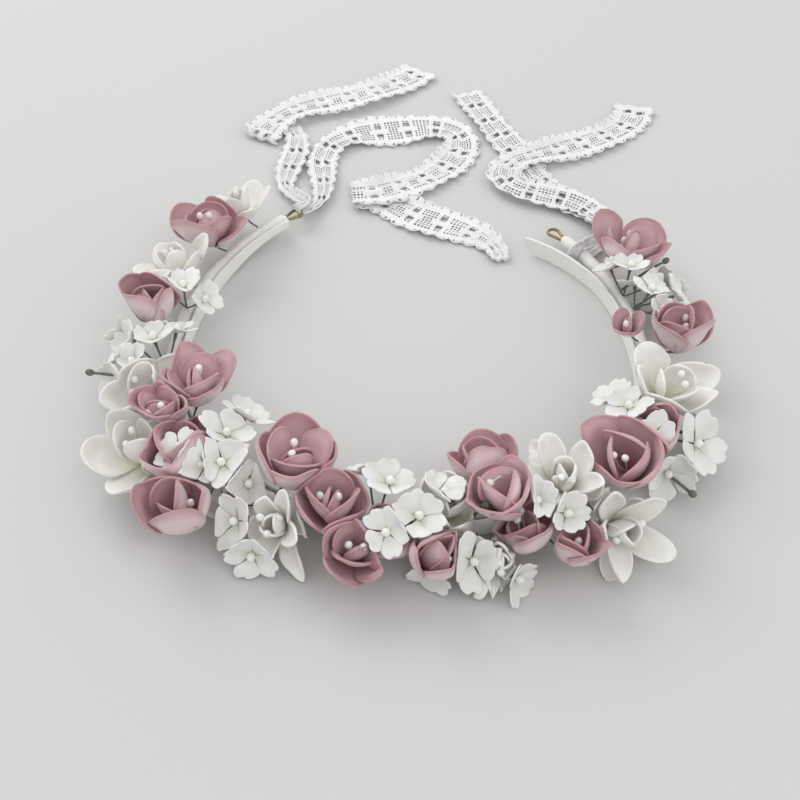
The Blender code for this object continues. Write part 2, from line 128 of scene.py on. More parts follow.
class NodeCanvas:
    """A material's node tree, with short calls that add and join its nodes."""

    def __init__(self, name: str) -> None:
        """Start a material with a Principled shader.

        Args:
            name: the material's name.
        """
        self.material = bpy.data.materials.new(name)
        self.material.use_nodes = True
        self.tree = self.material.node_tree
        self.shader = self.tree.nodes["Principled BSDF"]

    def node(self, kind: str, **settings: object) -> bpy.types.Node:
        """Add a node.

        Args:
            kind: the node's type name.
            settings: values of its properties.

        Returns:
            The new node.
        """
        made = self.tree.nodes.new(kind)
        for key, value in settings.items():
            setattr(made, key, value)
        return made

    def join(self, output: bpy.types.NodeSocket, target: bpy.types.NodeSocket) -> None:
        """Link an output to an input."""
        self.tree.links.new(output, target)

    def coordinates(self, uv: bool, scale: tuple[float, float, float]) -> bpy.types.NodeSocket:
        """Scaled texture coordinates.

        Args:
            uv: True for the piece's UV map, False for its Object coordinates.
            scale: repeats along each axis.

        Returns:
            The vector output.
        """
        source = self.node("ShaderNodeTexCoord")
        mapping = self.node("ShaderNodeMapping")
        mapping.inputs["Scale"].default_value = scale
        self.join(source.outputs["UV" if uv else "Object"], mapping.inputs["Vector"])
        return mapping.outputs["Vector"]

    def noise(self, vector: bpy.types.NodeSocket, scale: float, detail: float) -> bpy.types.NodeSocket:
        """A noise texture on the given coordinates.

        Args:
            vector: the coordinates.
            scale: how fine it is.
            detail: how many finer layers it has.

        Returns:
            Its value.
        """
        made = self.node("ShaderNodeTexNoise")
        made.inputs["Scale"].default_value = scale
        made.inputs["Detail"].default_value = detail
        self.join(vector, made.inputs["Vector"])
        return made.outputs["Fac"]

    def attribute(self, name: str) -> bpy.types.NodeSocket:
        """The value of a number stored on the mesh."""
        return self.node("ShaderNodeAttribute", attribute_name=name).outputs["Fac"]

    def ramp(self, value: bpy.types.NodeSocket, stops: Sequence[tuple[float, tuple]]) -> bpy.types.NodeSocket:
        """A colour ramp.

        Args:
            value: what the ramp reads.
            stops: pairs of a place from 0 to 1 and a colour.

        Returns:
            The colour output.
        """
        made = self.node("ShaderNodeValToRGB")
        elements = made.color_ramp.elements
        while len(elements) < len(stops):
            elements.new(0.5)
        for element, (place, colour) in zip(elements, stops):
            element.position = place
            element.color = (*colour, 1.0)
        self.join(value, made.inputs["Fac"])
        return made.outputs["Color"]

    def mix(
        self, share: bpy.types.NodeSocket | float, first: object, second: object, blend: str = "MIX"
    ) -> bpy.types.NodeSocket:
        """Mix two colours.

        Args:
            share: how much of the second.
            first: a colour or an output.
            second: a colour or an output.
            blend: the blend type.

        Returns:
            The mixed colour.
        """
        made = self.node("ShaderNodeMix", data_type="RGBA", blend_type=blend)
        if isinstance(share, bpy.types.NodeSocket):
            self.join(share, made.inputs["Factor"])
        else:
            made.inputs["Factor"].default_value = share
        for socket, value in ((made.inputs[6], first), (made.inputs[7], second)):
            if isinstance(value, bpy.types.NodeSocket):
                self.join(value, socket)
            else:
                socket.default_value = (*value, 1.0)
        return made.outputs[2]

    def scaled(self, value: bpy.types.NodeSocket, factor: float, offset: float = 0.0) -> bpy.types.NodeSocket:
        """A value times a factor plus an offset.

        Args:
            value: the value.
            factor: what it is multiplied by.
            offset: what is added.

        Returns:
            The result.
        """
        made = self.node("ShaderNodeMath", operation="MULTIPLY_ADD")
        made.inputs[1].default_value = factor
        made.inputs[2].default_value = offset
        self.join(value, made.inputs[0])
        return made.outputs[0]

    def bump(self, height: bpy.types.NodeSocket, strength: float, distance: float) -> None:
        """Join a height to the shader's normal.

        Args:
            height: the height output.
            strength: the bump's strength.
            distance: its depth in metres.
        """
        made = self.node("ShaderNodeBump")
        made.inputs["Strength"].default_value = strength
        made.inputs["Distance"].default_value = distance
        self.join(height, made.inputs["Height"])
        self.join(made.outputs["Normal"], self.shader.inputs["Normal"])


@dataclass(frozen=True)
class PetalFinish:
    """A moulded petal: one colour outside, a deeper one inside, a colour at its base and one at its edge. On
    the rose the base and edge colours are painted shade: deep where the petals overlap at the flower's heart,
    and darker at the edges for the satin's fall-off. On the white flowers the base colour is a greenish tint.
    The edge colour is their own on the ivory flowers and a little lighter on the florets.
    """

    name: str
    outside: tuple[float, float, float]
    inside: tuple[float, float, float]
    # Colour at the base of each petal: painted shade on the rose, where the petals overlap at the flower's
    # heart; a greenish tint on the white flowers.
    throat_tint_and_shade: tuple[float, float, float]
    # Colour at each petal's edge towards its tip: painted shade on the rose, darker for the satin's fall-off;
    # the ivory's own colour; a little lighter on the florets.
    rim: tuple[float, float, float]
    rim_tint_and_shade_share: float = 0.7
    roughness: float = 0.42
    sheen: float = 0.25
    coat: float = 0.12
    subsurface: float = 0.12
    grain: float = 0.00012

    def make(self) -> bpy.types.Material:
        """Build the material.

        Returns:
            The material.
        """
        canvas = NodeCanvas(self.name)
        place = canvas.coordinates(False, (1.0, 1.0, 1.0))
        side = canvas.mix(canvas.attribute("inside"), self.outside, self.inside)
        reach = canvas.attribute("along")
        # Towards the petal's base the colour turns to the base colour: painted shade on the rose, a greenish
        # tint on the white flowers.
        throat_tint_and_shade_share = canvas.node("ShaderNodeMapRange")
        throat_tint_and_shade_share.inputs["From Min"].default_value = 0.45
        throat_tint_and_shade_share.inputs["From Max"].default_value = 0.02
        canvas.join(reach, throat_tint_and_shade_share.inputs["Value"])
        throat_tint_and_shade = canvas.mix(throat_tint_and_shade_share.outputs["Result"], side, self.throat_tint_and_shade)
        # Towards the edges the colour turns to the edge colour: painted shade on the rose, darker at each
        # petal's edge.
        rim_value = canvas.scaled(canvas.attribute("rim"), self.rim_tint_and_shade_share)
        rim_tint_and_shade_colour = canvas.mix(rim_value, throat_tint_and_shade, self.rim)
        clouds = canvas.ramp(
            canvas.noise(place, 160.0, 3.0), [(0.30, (0.86, 0.84, 0.84)), (0.70, (1.0, 1.0, 1.0))]
        )
        colour = canvas.mix(1.0, rim_tint_and_shade_colour, clouds, "MULTIPLY")
        canvas.join(colour, canvas.shader.inputs["Base Color"])
        fine = canvas.noise(canvas.coordinates(True, (26.0, 3.0, 1.0)), 6.0, 4.0)
        canvas.bump(fine, 0.35, self.grain)
        canvas.join(
            canvas.scaled(canvas.noise(place, 420.0, 2.0), 0.22, self.roughness - 0.11),
            canvas.shader.inputs["Roughness"],
        )
        canvas.shader.inputs["Sheen Weight"].default_value = self.sheen
        canvas.shader.inputs["Sheen Roughness"].default_value = 0.4
        canvas.shader.inputs["Coat Weight"].default_value = self.coat
        canvas.shader.inputs["Coat Roughness"].default_value = 0.35
        canvas.shader.inputs["Subsurface Weight"].default_value = self.subsurface
        canvas.shader.inputs["Subsurface Radius"].default_value = (1.0, 0.7, 0.6)
        canvas.shader.inputs["Subsurface Scale"].default_value = 0.0015
        return canvas.material


@dataclass(frozen=True)
class ThreadFinish:
    """Woven or wound white cloth, with threads that follow the piece."""

    name: str
    light: tuple[float, float, float]
    dark: tuple[float, float, float]
    threads: tuple[float, float]
    depth: float = 0.00018
    roughness: float = 0.82
    sheen: float = 0.3

    def make(self) -> bpy.types.Material:
        """Build the material.

        Returns:
            The material.
        """
        canvas = NodeCanvas(self.name)
        heights = []
        for direction, count in zip(("X", "Y"), self.threads):
            wave = canvas.node("ShaderNodeTexWave", wave_type="BANDS", bands_direction=direction)
            wave.inputs["Scale"].default_value = count
            wave.inputs["Distortion"].default_value = 1.2
            wave.inputs["Detail"].default_value = 2.0
            canvas.join(canvas.coordinates(True, (1.0, 1.0, 1.0)), wave.inputs["Vector"])
            heights.append(wave.outputs["Fac"])
        weave = canvas.node("ShaderNodeMath", operation="MULTIPLY")
        canvas.join(heights[0], weave.inputs[0])
        canvas.join(heights[1], weave.inputs[1])
        place = canvas.coordinates(False, (1.0, 1.0, 1.0))
        fuzz = canvas.node("ShaderNodeMath", operation="ADD")
        canvas.join(weave.outputs[0], fuzz.inputs[0])
        canvas.join(canvas.noise(place, 1500.0, 3.0), fuzz.inputs[1])
        colour = canvas.mix(canvas.noise(place, 220.0, 4.0), self.dark, self.light)
        canvas.join(colour, canvas.shader.inputs["Base Color"])
        canvas.bump(fuzz.outputs[0], 0.6, self.depth)
        canvas.shader.inputs["Roughness"].default_value = self.roughness
        canvas.shader.inputs["Sheen Weight"].default_value = self.sheen
        canvas.shader.inputs["Sheen Roughness"].default_value = 0.5
        return canvas.material


@dataclass(frozen=True)
class SpeckledFinish:
    """A plain surface with small changes of colour and roughness, such as wire or a moulded bead."""

    name: str
    light: tuple[float, float, float]
    dark: tuple[float, float, float]
    roughness: float
    metallic: float = 0.0
    speck: float = 900.0
    depth: float = 0.00004

    def make(self) -> bpy.types.Material:
        """Build the material.

        Returns:
            The material.
        """
        canvas = NodeCanvas(self.name)
        place = canvas.coordinates(False, (1.0, 1.0, 1.0))
        specks = canvas.noise(place, self.speck, 4.0)
        colour = canvas.ramp(specks, [(0.32, self.dark), (0.68, self.light)])
        canvas.join(colour, canvas.shader.inputs["Base Color"])
        canvas.join(canvas.scaled(specks, 0.2, self.roughness - 0.1), canvas.shader.inputs["Roughness"])
        canvas.bump(specks, 0.4, self.depth)
        canvas.shader.inputs["Metallic"].default_value = self.metallic
        return canvas.material


FINISHES = {
    Finish.ROSE: PetalFinish(
        "rose petal",
        outside=(0.790, 0.630, 0.650),
        inside=(0.670, 0.450, 0.470),
        # Painted shade: the deep base colour stands for the shade where the petals overlap at the flower's
        # heart.
        throat_tint_and_shade=(0.330, 0.130, 0.140),
        # Painted shade: the darker edge colour stands for the satin's fall-off towards the petal edges.
        rim=(0.430, 0.180, 0.200),
    ),
    Finish.IVORY: PetalFinish(
        "ivory petal",
        outside=(0.88, 0.87, 0.83),
        inside=(0.87, 0.86, 0.81),
        throat_tint_and_shade=(0.70, 0.71, 0.52),
        rim=(0.88, 0.87, 0.83),
        roughness=0.5,
        coat=0.05,
    ),
    Finish.FLORET: PetalFinish(
        "floret petal",
        outside=(0.80, 0.80, 0.77),
        inside=(0.85, 0.85, 0.82),
        throat_tint_and_shade=(0.66, 0.69, 0.55),
        rim=(0.88, 0.88, 0.86),
        roughness=0.72,
        coat=0.0,
        grain=0.0002,
    ),
    Finish.STAMEN: SpeckledFinish("stamen", (0.90, 0.89, 0.86), (0.80, 0.78, 0.73), 0.38),
    Finish.STEM: SpeckledFinish("stem wire", (0.17, 0.20, 0.15), (0.08, 0.10, 0.08), 0.6),
    Finish.TAPE: SpeckledFinish(
        "wrap tape", (0.87, 0.86, 0.84), (0.78, 0.77, 0.74), 0.85, speck=2600.0, depth=0.00012
    ),
    Finish.LINING: SpeckledFinish(
        "lining", (0.90, 0.90, 0.88), (0.82, 0.82, 0.79), 0.9, speck=2200.0, depth=0.00012
    ),
    Finish.LACE: ThreadFinish("lace", (0.90, 0.90, 0.90), (0.83, 0.83, 0.83), (16.0, 400.0), sheen=0.2),
    Finish.BRASS: SpeckledFinish("brass wire", (0.40, 0.31, 0.12), (0.20, 0.15, 0.06), 0.34, metallic=1.0),
}
_MATERIALS: dict[Finish, bpy.types.Material] = {}


def material_of(finish: Finish) -> bpy.types.Material:
    """The material of a finish, made once.

    Args:
        finish: the finish.

    Returns:
        The material.
    """
    if finish not in _MATERIALS:
        _MATERIALS[finish] = FINISHES[finish].make()
    return _MATERIALS[finish]


# ---------------------------------------------------------------- mesh work


def smooth_step(value: float, low: float, high: float) -> float:
    """A smooth rise from 0 at low to 1 at high."""
    share = max(0.0, min(1.0, (value - low) / (high - low)))
    return share * share * (3.0 - 2.0 * share)


def rounded(u: float, v: float) -> tuple[float, float]:
    """A point of a round outline, from the same point of a square one.

    Args:
        u: its place across the square, from 0 to 1.
        v: its place along the square, from 0 to 1.

    Returns:
        Its place across and along the round outline, both from -1 to 1.
    """
    x, y = 2.0 * u - 1.0, 2.0 * v - 1.0
    return x * math.sqrt(1.0 - 0.5 * y * y), y * math.sqrt(1.0 - 0.5 * x * x)


def mapped_grid(
    shape: bmesh.types.BMesh, columns: int, rows: int, place: Callable[[float, float], Vector]
) -> list[bmesh.types.BMVert]:
    """Add a grid whose points are moved to place(u, v), with both from 0 to 1, and give it a UV map.

    Args:
        shape: the mesh that takes the grid.
        columns: faces across.
        rows: faces along.
        place: where each point goes.

    Returns:
        The new points.
    """
    uv = shape.loops.layers.uv.verify()
    made = bmesh.ops.create_grid(shape, x_segments=columns, y_segments=rows, size=0.5)["verts"]
    where = {vert: (vert.co.x + 0.5, vert.co.y + 0.5) for vert in made}
    for face in {face for vert in made for face in vert.link_faces}:
        face.smooth = True
        for loop in face.loops:
            loop[uv].uv = where[loop.vert]
    for vert in made:
        vert.co = place(*where[vert])
    return made


def tube(
    shape: bmesh.types.BMesh,
    points: Sequence[Vector],
    radius: Callable[[float, float], float],
    around: int,
    material: int = 0,
) -> None:
    """Add a closed round tube along the points.

    Args:
        shape: the mesh that takes it.
        points: its middle line.
        radius: its radius, from the share along it and the turn round it in radians.
        around: faces round it.
        material: its material index.
    """
    count = len(points) - 1
    frames = []
    side = None
    for i, point in enumerate(points):
        ahead = (points[min(i + 1, count)] - points[max(i - 1, 0)]).normalized()
        if side is None:
            side = ahead.cross(UP if abs(ahead.z) < 0.9 else Vector((1.0, 0.0, 0.0))).normalized()
        side = (side - ahead * side.dot(ahead)).normalized()
        frames.append((point, side, ahead.cross(side)))

    def place(u: float, v: float) -> Vector:
        """A point of the tube's wall.

        Args:
            u: its share of the way round.
            v: its share of the way along.

        Returns:
            The point.
        """
        point, across, other = frames[round(v * count)]
        turn = 2.0 * math.pi * u
        return point + (across * math.cos(turn) + other * math.sin(turn)) * radius(v, turn)

    made = mapped_grid(shape, around, count, place)
    faces = {face for vert in made for face in vert.link_faces}
    bmesh.ops.remove_doubles(shape, verts=made, dist=1e-6)
    made = [vert for vert in made if vert.is_valid]
    edges = {edge for vert in made for edge in vert.link_edges if edge.is_boundary}
    faces |= set(bmesh.ops.holes_fill(shape, edges=list(edges), sides=0)["faces"])
    faces = [face for face in faces if face.is_valid]
    for face in faces:
        face.material_index = material
    bmesh.ops.recalc_face_normals(shape, faces=faces)


def thicken(
    shape: bmesh.types.BMesh, faces: Sequence[bmesh.types.BMFace], thickness: float
) -> list[bmesh.types.BMVert]:
    """Give a sheet of faces a second side behind it and close its edge.

    Args:
        shape: the mesh.
        faces: the sheet, with its normals on the side that stays in place.
        thickness: how far behind it the second side lies.

    Returns:
        The points of the second side.
    """
    for face in faces:
        face.normal_update()
    verts = list({vert for face in faces for vert in face.verts})
    edges = list({edge for face in faces for edge in face.edges})
    rim = [edge for edge in edges if edge.is_boundary]
    for vert in verts:
        vert.normal_update()
    normals = {vert: vert.normal.copy() for vert in verts}
    copy = bmesh.ops.duplicate(shape, geom=[*verts, *edges, *faces])
    twin = {vert: copy["vert_map"][vert] for vert in verts}
    for vert, other in twin.items():
        other.co = vert.co - normals[vert] * thickness
    behind = [item for item in copy["geom"] if isinstance(item, bmesh.types.BMFace)]
    bmesh.ops.reverse_faces(shape, faces=behind)
    twin_rim = [copy["edge_map"][edge] for edge in rim]
    bridge = bmesh.ops.bridge_loops(shape, edges=[*rim, *twin_rim])["faces"]
    for face in bridge:
        face.smooth = True
    bmesh.ops.recalc_face_normals(shape, faces=[*faces, *behind, *bridge])
    return list(twin.values())


def ball(
    shape: bmesh.types.BMesh, centre: Vector, axis: Vector, radius: float, length: float, material: int
) -> None:
    """Add an oval bead.

    Args:
        shape: the mesh that takes it.
        centre: its middle.
        axis: its long direction.
        radius: its radius across.
        length: its half length.
        material: its material index.
    """
    turn = UP.rotation_difference(axis).to_matrix().to_4x4()
    size = Matrix.Diagonal((radius, radius, length, 1.0))
    matrix = Matrix.Translation(centre) @ turn @ size
    made = bmesh.ops.create_uvsphere(shape, u_segments=12, v_segments=8, radius=1.0, matrix=matrix)["verts"]
    for face in {face for vert in made for face in vert.link_faces}:
        face.smooth = True
        face.material_index = material


def to_object(
    name: str, shape: bmesh.types.BMesh, finishes: Sequence[Finish], slot: Finish
) -> bpy.types.Object:
    """Finish a bmesh as a named object at the origin.

    Args:
        name: the piece's name.
        shape: its mesh, which is freed.
        finishes: its materials in order.
        slot: not used.

    Returns:
        The object.
    """
    mesh = bpy.data.meshes.new(name)
    shape.to_mesh(mesh)
    shape.free()
    for finish in finishes:
        mesh.materials.append(material_of(finish))
    piece = bpy.data.objects.new(name, mesh)
    bpy.context.scene.collection.objects.link(piece)
    return piece


def subdivided(piece: bpy.types.Object, levels: int) -> bpy.types.Object:
    """Add a Subdivision Surface modifier with equal levels.

    Args:
        piece: the piece that is rounded.
        levels: how often each face is divided.

    Returns:
        The piece.
    """
    rounding = piece.modifiers.new("rounding", "SUBSURF")
    rounding.levels = levels
    rounding.render_levels = levels
    return piece


def settle(shape: bmesh.types.BMesh, floor: float = FLOOR_CLEARANCE, softness: float = 0.004) -> None:
    """Press what would pass below the surface that the crown lies on, or above its full height, gently back.

    Args:
        shape: the mesh that settles.
        floor: the lowest height that a point may have.
        softness: the distance from a limit at which points start to be pressed.
    """
    ceiling = CAD_BOX[1][2]
    for vert in shape.verts:
        if vert.co.z < floor + softness:
            depth = (floor + softness - vert.co.z) / softness
            vert.co.z = floor + softness * math.exp(-depth)
        elif vert.co.z > ceiling - softness:
            excess = (vert.co.z - ceiling + softness) / softness
            vert.co.z = ceiling - softness * math.exp(-excess)


# ---------------------------------------------------------------- the band


@dataclass
class Band:
    """The line that the wire, the wrap and the lining follow, read from the two flex joints."""

    flex_angle: float = 85.0
    front_depth: float = 0.076
    rear_depth: float = 0.100
    height: float = 0.0052
    left_end: float = 140.0
    right_end: float = 137.0
    centre: Vector = field(init=False)
    half_width: float = field(init=False)

    def __post_init__(self) -> None:
        """Work out the centre and the half width from the joints."""
        places = {joint["name"]: Vector(joint["pos_m"]) for joint in frame["joints"]}
        left, right = places["left_arm_flex"], places["right_arm_flex"]
        turn = math.radians(self.flex_angle)
        self.half_width = (right.x - left.x) / 2.0 / math.sin(turn)
        middle = (left + right) / 2.0
        self.centre = middle + Vector((0.0, self.front_depth * math.cos(turn), -self.height))

    def point(self, angle: float, out: float = 0.0, up: float | None = None) -> Vector:
        """A point beside the band.

        Args:
            angle: its angle in degrees.
            out: how far outside the middle line.
            up: its height, or None for the band's own.

        Returns:
            The point.
        """
        turn = math.radians(angle)
        depth = self.front_depth if math.cos(turn) > 0 else self.rear_depth
        x, y = self.half_width * math.sin(turn), -depth * math.cos(turn)
        normal = Vector((x / self.half_width**2, y / depth**2, 0.0)).normalized()
        return self.centre + Vector((x, y, self.height if up is None else up)) + normal * out

    def along(self, angle: float) -> Vector:
        """The direction along the band, towards the larger angle."""
        return UP.cross(self.outward(angle))

    def outward(self, angle: float) -> Vector:
        """The direction out of the band."""
        return (self.point(angle, 1.0) - self.point(angle)).normalized()

    def bend(self, piece: bpy.types.Object, side: Side, spread: float = 7.0) -> None:
        """Let a piece bend across the flex joint on one side.

        Args:
            piece: the piece.
            side: which joint.
            spread: how far the bend reaches on each side of the joint, in degrees.
        """
        arm = "left_arm" if side is Side.LEFT else "right_arm"
        start = self.point(side.value * (self.flex_angle - spread))
        end = self.point(side.value * (self.flex_angle + spread))
        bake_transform(piece, "front_band", arm, start=start, end=end)


BAND = Band()


@dataclass
class WrappedBand:
    """The wound tape, the lining on its inner side and the wire eyes at its ends."""

    tape_radius: float = 0.0022
    tape_lap: float = 0.00022
    tape_pitch: float = 0.0065
    tape_steps: int = 300
    tape_closing: float = 0.45
    lining_height: float = 0.0075
    lining_thickness: float = 0.0009
    lining_offset: float = 0.0034
    lining_sway: float = 0.00022
    lining_wave: float = 0.011
    lining_lip: float = 0.55
    left_taper_start: float = 0.78
    right_taper_start: float = 0.94
    tail_start: float = 113.0
    tail_route: tuple[tuple[float, float], ...] = (
        (119.0, 4.2), (125.0, 6.0), (130.0, 7.6), (135.0, 9.4), (140.0, 11.4), (142.5, 12.6),
    )
    tail_point: float = 0.55
    wire_radius: float = 0.0006
    leg_offset: float = 0.00085
    leg_lap: float = 9.0
    eye_radius: float = 0.0022
    eye_reach: float = 0.0052
    eye_opening: float = 110.0

    def end(self, side: Side) -> float:
        """The angle at which the wrap ends, without its sign."""
        return BAND.left_end if side is Side.LEFT else BAND.right_end

    def tape(self, side: Side) -> bpy.types.Object:
        """The wound tape from the front centre to one end.

        Args:
            side: which half.

        Returns:
            The piece.
        """
        end = side.value * self.end(side)
        points = [BAND.point(end * i / self.tape_steps) for i in range(self.tape_steps + 1)]
        length = sum((b - a).length for a, b in zip(points, points[1:]))

        def radius(v: float, turn: float) -> float:
            """The wrap's radius, with a small step at each overlap of the tape.

            Args:
                v: the share of the way along.
                turn: the turn round it in radians.

            Returns:
                The radius.
            """
            winding = (v * length / self.tape_pitch + turn / (2.0 * math.pi)) % 1.0
            lap = self.tape_lap * (smooth_step(winding, 0.0, 0.12) - smooth_step(winding, 0.12, 1.0))
            closing = 1.0 - self.tape_closing * smooth_step(v, 0.992, 1.0)
            return (self.tape_radius + lap) * closing

        shape = bmesh.new()
        tube(shape, points, radius, 24)
        name = f"wound_tape_{side.name.lower()}"
        piece = to_object(name, shape, [Finish.TAPE], Finish.TAPE)
        nodes = {
            Side.LEFT: ("tape_wrap_left", "tape_wrap_front", "wire_front"),
            Side.RIGHT: ("tape_wrap_right",),
        }
        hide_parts(*nodes[side])
        BAND.bend(piece, side)
        return piece

    def lining_line(self, side: Side) -> list[Vector]:
        """The line on the surface below the lining, from the front centre to its end.

        Args:
            side: which half.

        Returns:
            The points of the line.
        """
        if side is Side.LEFT:
            return [BAND.point(-a, -self.lining_offset, 0.0) for a in np.arange(0.0, BAND.left_end, 1.0)]
        points = [BAND.point(a, -self.lining_offset, 0.0) for a in np.arange(0.0, self.tail_start, 1.0)]
        tail = [BAND.point(a, -out * MM, 0.0) for a, out in self.tail_route]
        return points + line_through([points[-1], *tail], 6)[1:]

    def lining(self, side: Side) -> bpy.types.Object:
        """The lining strip on edge, folded over at its top, with a slanted free end on the right.

        Args:
            side: which half.

        Returns:
            The piece.
        """
        points = self.lining_line(side)
        count = len(points) - 1
        length = sum((b - a).length for a, b in zip(points, points[1:]))
        last = self.right_taper_start if side is Side.RIGHT else self.left_taper_start
        half = 0.5 * self.lining_thickness

        def place(u: float, v: float) -> Vector:
            """A point of the strip's closed outline.

            Args:
                u: its share of the way round.
                v: its share of the way along.

            Returns:
                The point.
            """
            index = round(v * count)
            heading = points[min(index + 1, count)] - points[max(index - 1, 0)]
            across = UP.cross(heading.normalized())
            turn = 2.0 * math.pi * u
            sway = self.lining_sway * math.sin(v * length / self.lining_wave + side.value)
            flat_x = math.copysign(abs(math.cos(turn)) ** 0.45, math.cos(turn))
            flat_z = math.copysign(abs(math.sin(turn)) ** 0.35, math.sin(turn))
            lip = 1.0 + self.lining_lip * smooth_step(flat_z, 0.72, 1.0)
            share = 0.5 + 0.5 * flat_z
            cut = 1.0 - self.tail_point * smooth_step(v, last, 1.0)
            height = self.lining_height * (1.0 - (1.0 - share) * cut)
            return points[index] + across * (half * lip * flat_x + sway) + UP * height

        shape = bmesh.new()
        made = mapped_grid(shape, 20, count, place)
        bmesh.ops.remove_doubles(shape, verts=made, dist=1e-6)
        bmesh.ops.holes_fill(shape, edges=[e for e in shape.edges if e.is_boundary], sides=0)
        bmesh.ops.recalc_face_normals(shape, faces=shape.faces)
        piece = to_object(f"edge_lining_{side.name.lower()}", shape, [Finish.LINING], Finish.LINING)
        nodes = {Side.LEFT: ("lining_left", "lining_front"), Side.RIGHT: ("lining_right",)}
        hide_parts(*nodes[side])
        BAND.bend(piece, side)
        return piece

    def eye(self, side: Side) -> bpy.types.Object:
        """The wire of one end: a leg out of the wrap, round the eye and back in.

        Args:
            side: which end.

        Returns:
            The piece.
        """
        end = side.value * self.end(side)
        along = BAND.along(end) * side.value
        outward = BAND.outward(end)
        centre = BAND.point(end) + along * self.eye_reach
        inside = side.value * (self.end(side) - self.leg_lap)
        opening = math.radians(self.eye_opening)
        steps = 32
        loop = []
        for i in range(steps + 1):
            turn = opening - 2.0 * opening * i / steps
            loop.append(centre + along * (self.eye_radius * math.cos(turn))
                        + outward * (self.eye_radius * math.sin(turn)))
        legs = [
            [BAND.point(inside + (end - inside) * i / 6, offset) for i in range(7)]
            for offset in (self.leg_offset, -self.leg_offset)
        ]
        points = line_through([*legs[0], *loop, *reversed(legs[1])], 2)
        shape = bmesh.new()
        tube(shape, points, lambda v, turn: self.wire_radius, 14)
        name = side.name.lower()
        piece = to_object(f"eye_wire_{name}", shape, [Finish.BRASS], Finish.BRASS)
        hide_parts(f"wire_{name}_with_eye")
        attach(piece, f"{name}_arm")
        return piece

    def build(self) -> list[bpy.types.Object]:
        """Make every piece of the band.

        Returns:
            The pieces.
        """
        return [make(side) for side in Side for make in (self.tape, self.lining, self.eye)]


def curved(points: Sequence[Sequence[float]], parts: int) -> list[tuple[float, ...]]:
    """Rows on a smooth curve through the given rows of numbers.

    Args:
        points: the rows to pass through.
        parts: new rows to each span.

    Returns:
        The rows of the curve.
    """
    rows = np.array(points, float)
    rows = np.vstack([2.0 * rows[0] - rows[1], rows, 2.0 * rows[-1] - rows[-2]])
    result = []
    for before, start, finish, after in zip(rows, rows[1:], rows[2:], rows[3:]):
        for i in range(parts):
            t = i / parts
            linear = (finish - before) * t
            square = (2.0 * before - 5.0 * start + 4.0 * finish - after) * t**2
            cube = (3.0 * start - before - 3.0 * finish + after) * t**3
            result.append(tuple(0.5 * (2.0 * start + linear + square + cube)))
    result.append(tuple(rows[-2]))
    return result


def line_through(points: Sequence[Vector], parts: int) -> list[Vector]:
    """Points on a smooth curve through the given points.

    Args:
        points: the points to pass through.
        parts: new points to each span.

    Returns:
        The points of the curve.
    """
    return [Vector(row) for row in curved([tuple(point) for point in points], parts)]


# ---------------------------------------------------------------- flowers


@dataclass(frozen=True)
class PetalShape:
    """One kind of petal, in units of its flower's radius.

    The leans are the angles between the petal and the flower's axis at its base and at its tip, first where
    there is room for it to open and then where a neighbour holds it upright.
    """

    length: float
    half_width: float
    open_leans: tuple[float, float]
    held_leans: tuple[float, float]
    cup: float
    lip: float = 0.0
    ruffle: float = 0.03
    notch: float = 0.0
    taper: float = 0.35
    thickness: float = 0.0009


@dataclass(frozen=True)
class Whorl:
    """A ring of petals round a flower's axis."""

    petal: PetalShape
    count: int
    start: float = 0.0
    lift: float = 0.0


@dataclass(frozen=True)
class Bloom:
    """One kind of flower: its petals, its finish, what stands in its middle and which way it faces."""

    whorls: tuple[Whorl, ...]
    finish: Finish
    rim: float
    scale: float = 1.0
    sink: float = 0.25
    stamens: int = 2
    bead: float = 0.0
    face_up: float = 1.1
    wander: float = 7.0


@dataclass
class Seat:
    """Where a flower sits, read from its CAD node."""

    root: Vector
    axis: Vector
    heart: Vector
    radius: float
    body: str

    @classmethod
    def of(cls, node: str, rim: float) -> "Seat":
        """Find a flower's seat.

        Args:
            node: the CAD node's name.
            rim: the height of its rim above its heart, in rim radii.

        Returns:
            The seat.
        """
        solid = frame["nodes"][node]
        points = np.array([vert.co for vert in solid.data.vertices])
        line = np.array([BAND.point(angle * 0.25) for angle in range(-560, 561)])
        gaps = np.linalg.norm(points[:, None, :] - line[None, :, :], axis=2)
        nearest = np.unravel_index(gaps.argmin(), gaps.shape)
        root = Vector(line[nearest[1]])
        base = points[gaps[:, nearest[1]] < gaps.min() + 0.0006]
        axis = (Vector(base.mean(axis=0)) - root).normalized()
        offsets = points - np.array(root)
        heights = offsets @ np.array(axis)
        radius = float(np.linalg.norm(offsets - heights[:, None] * np.array(axis), axis=1).max())
        heart = root + axis * (float(heights.max()) - rim * radius)
        return cls(root, axis, heart, radius, solid["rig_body"])


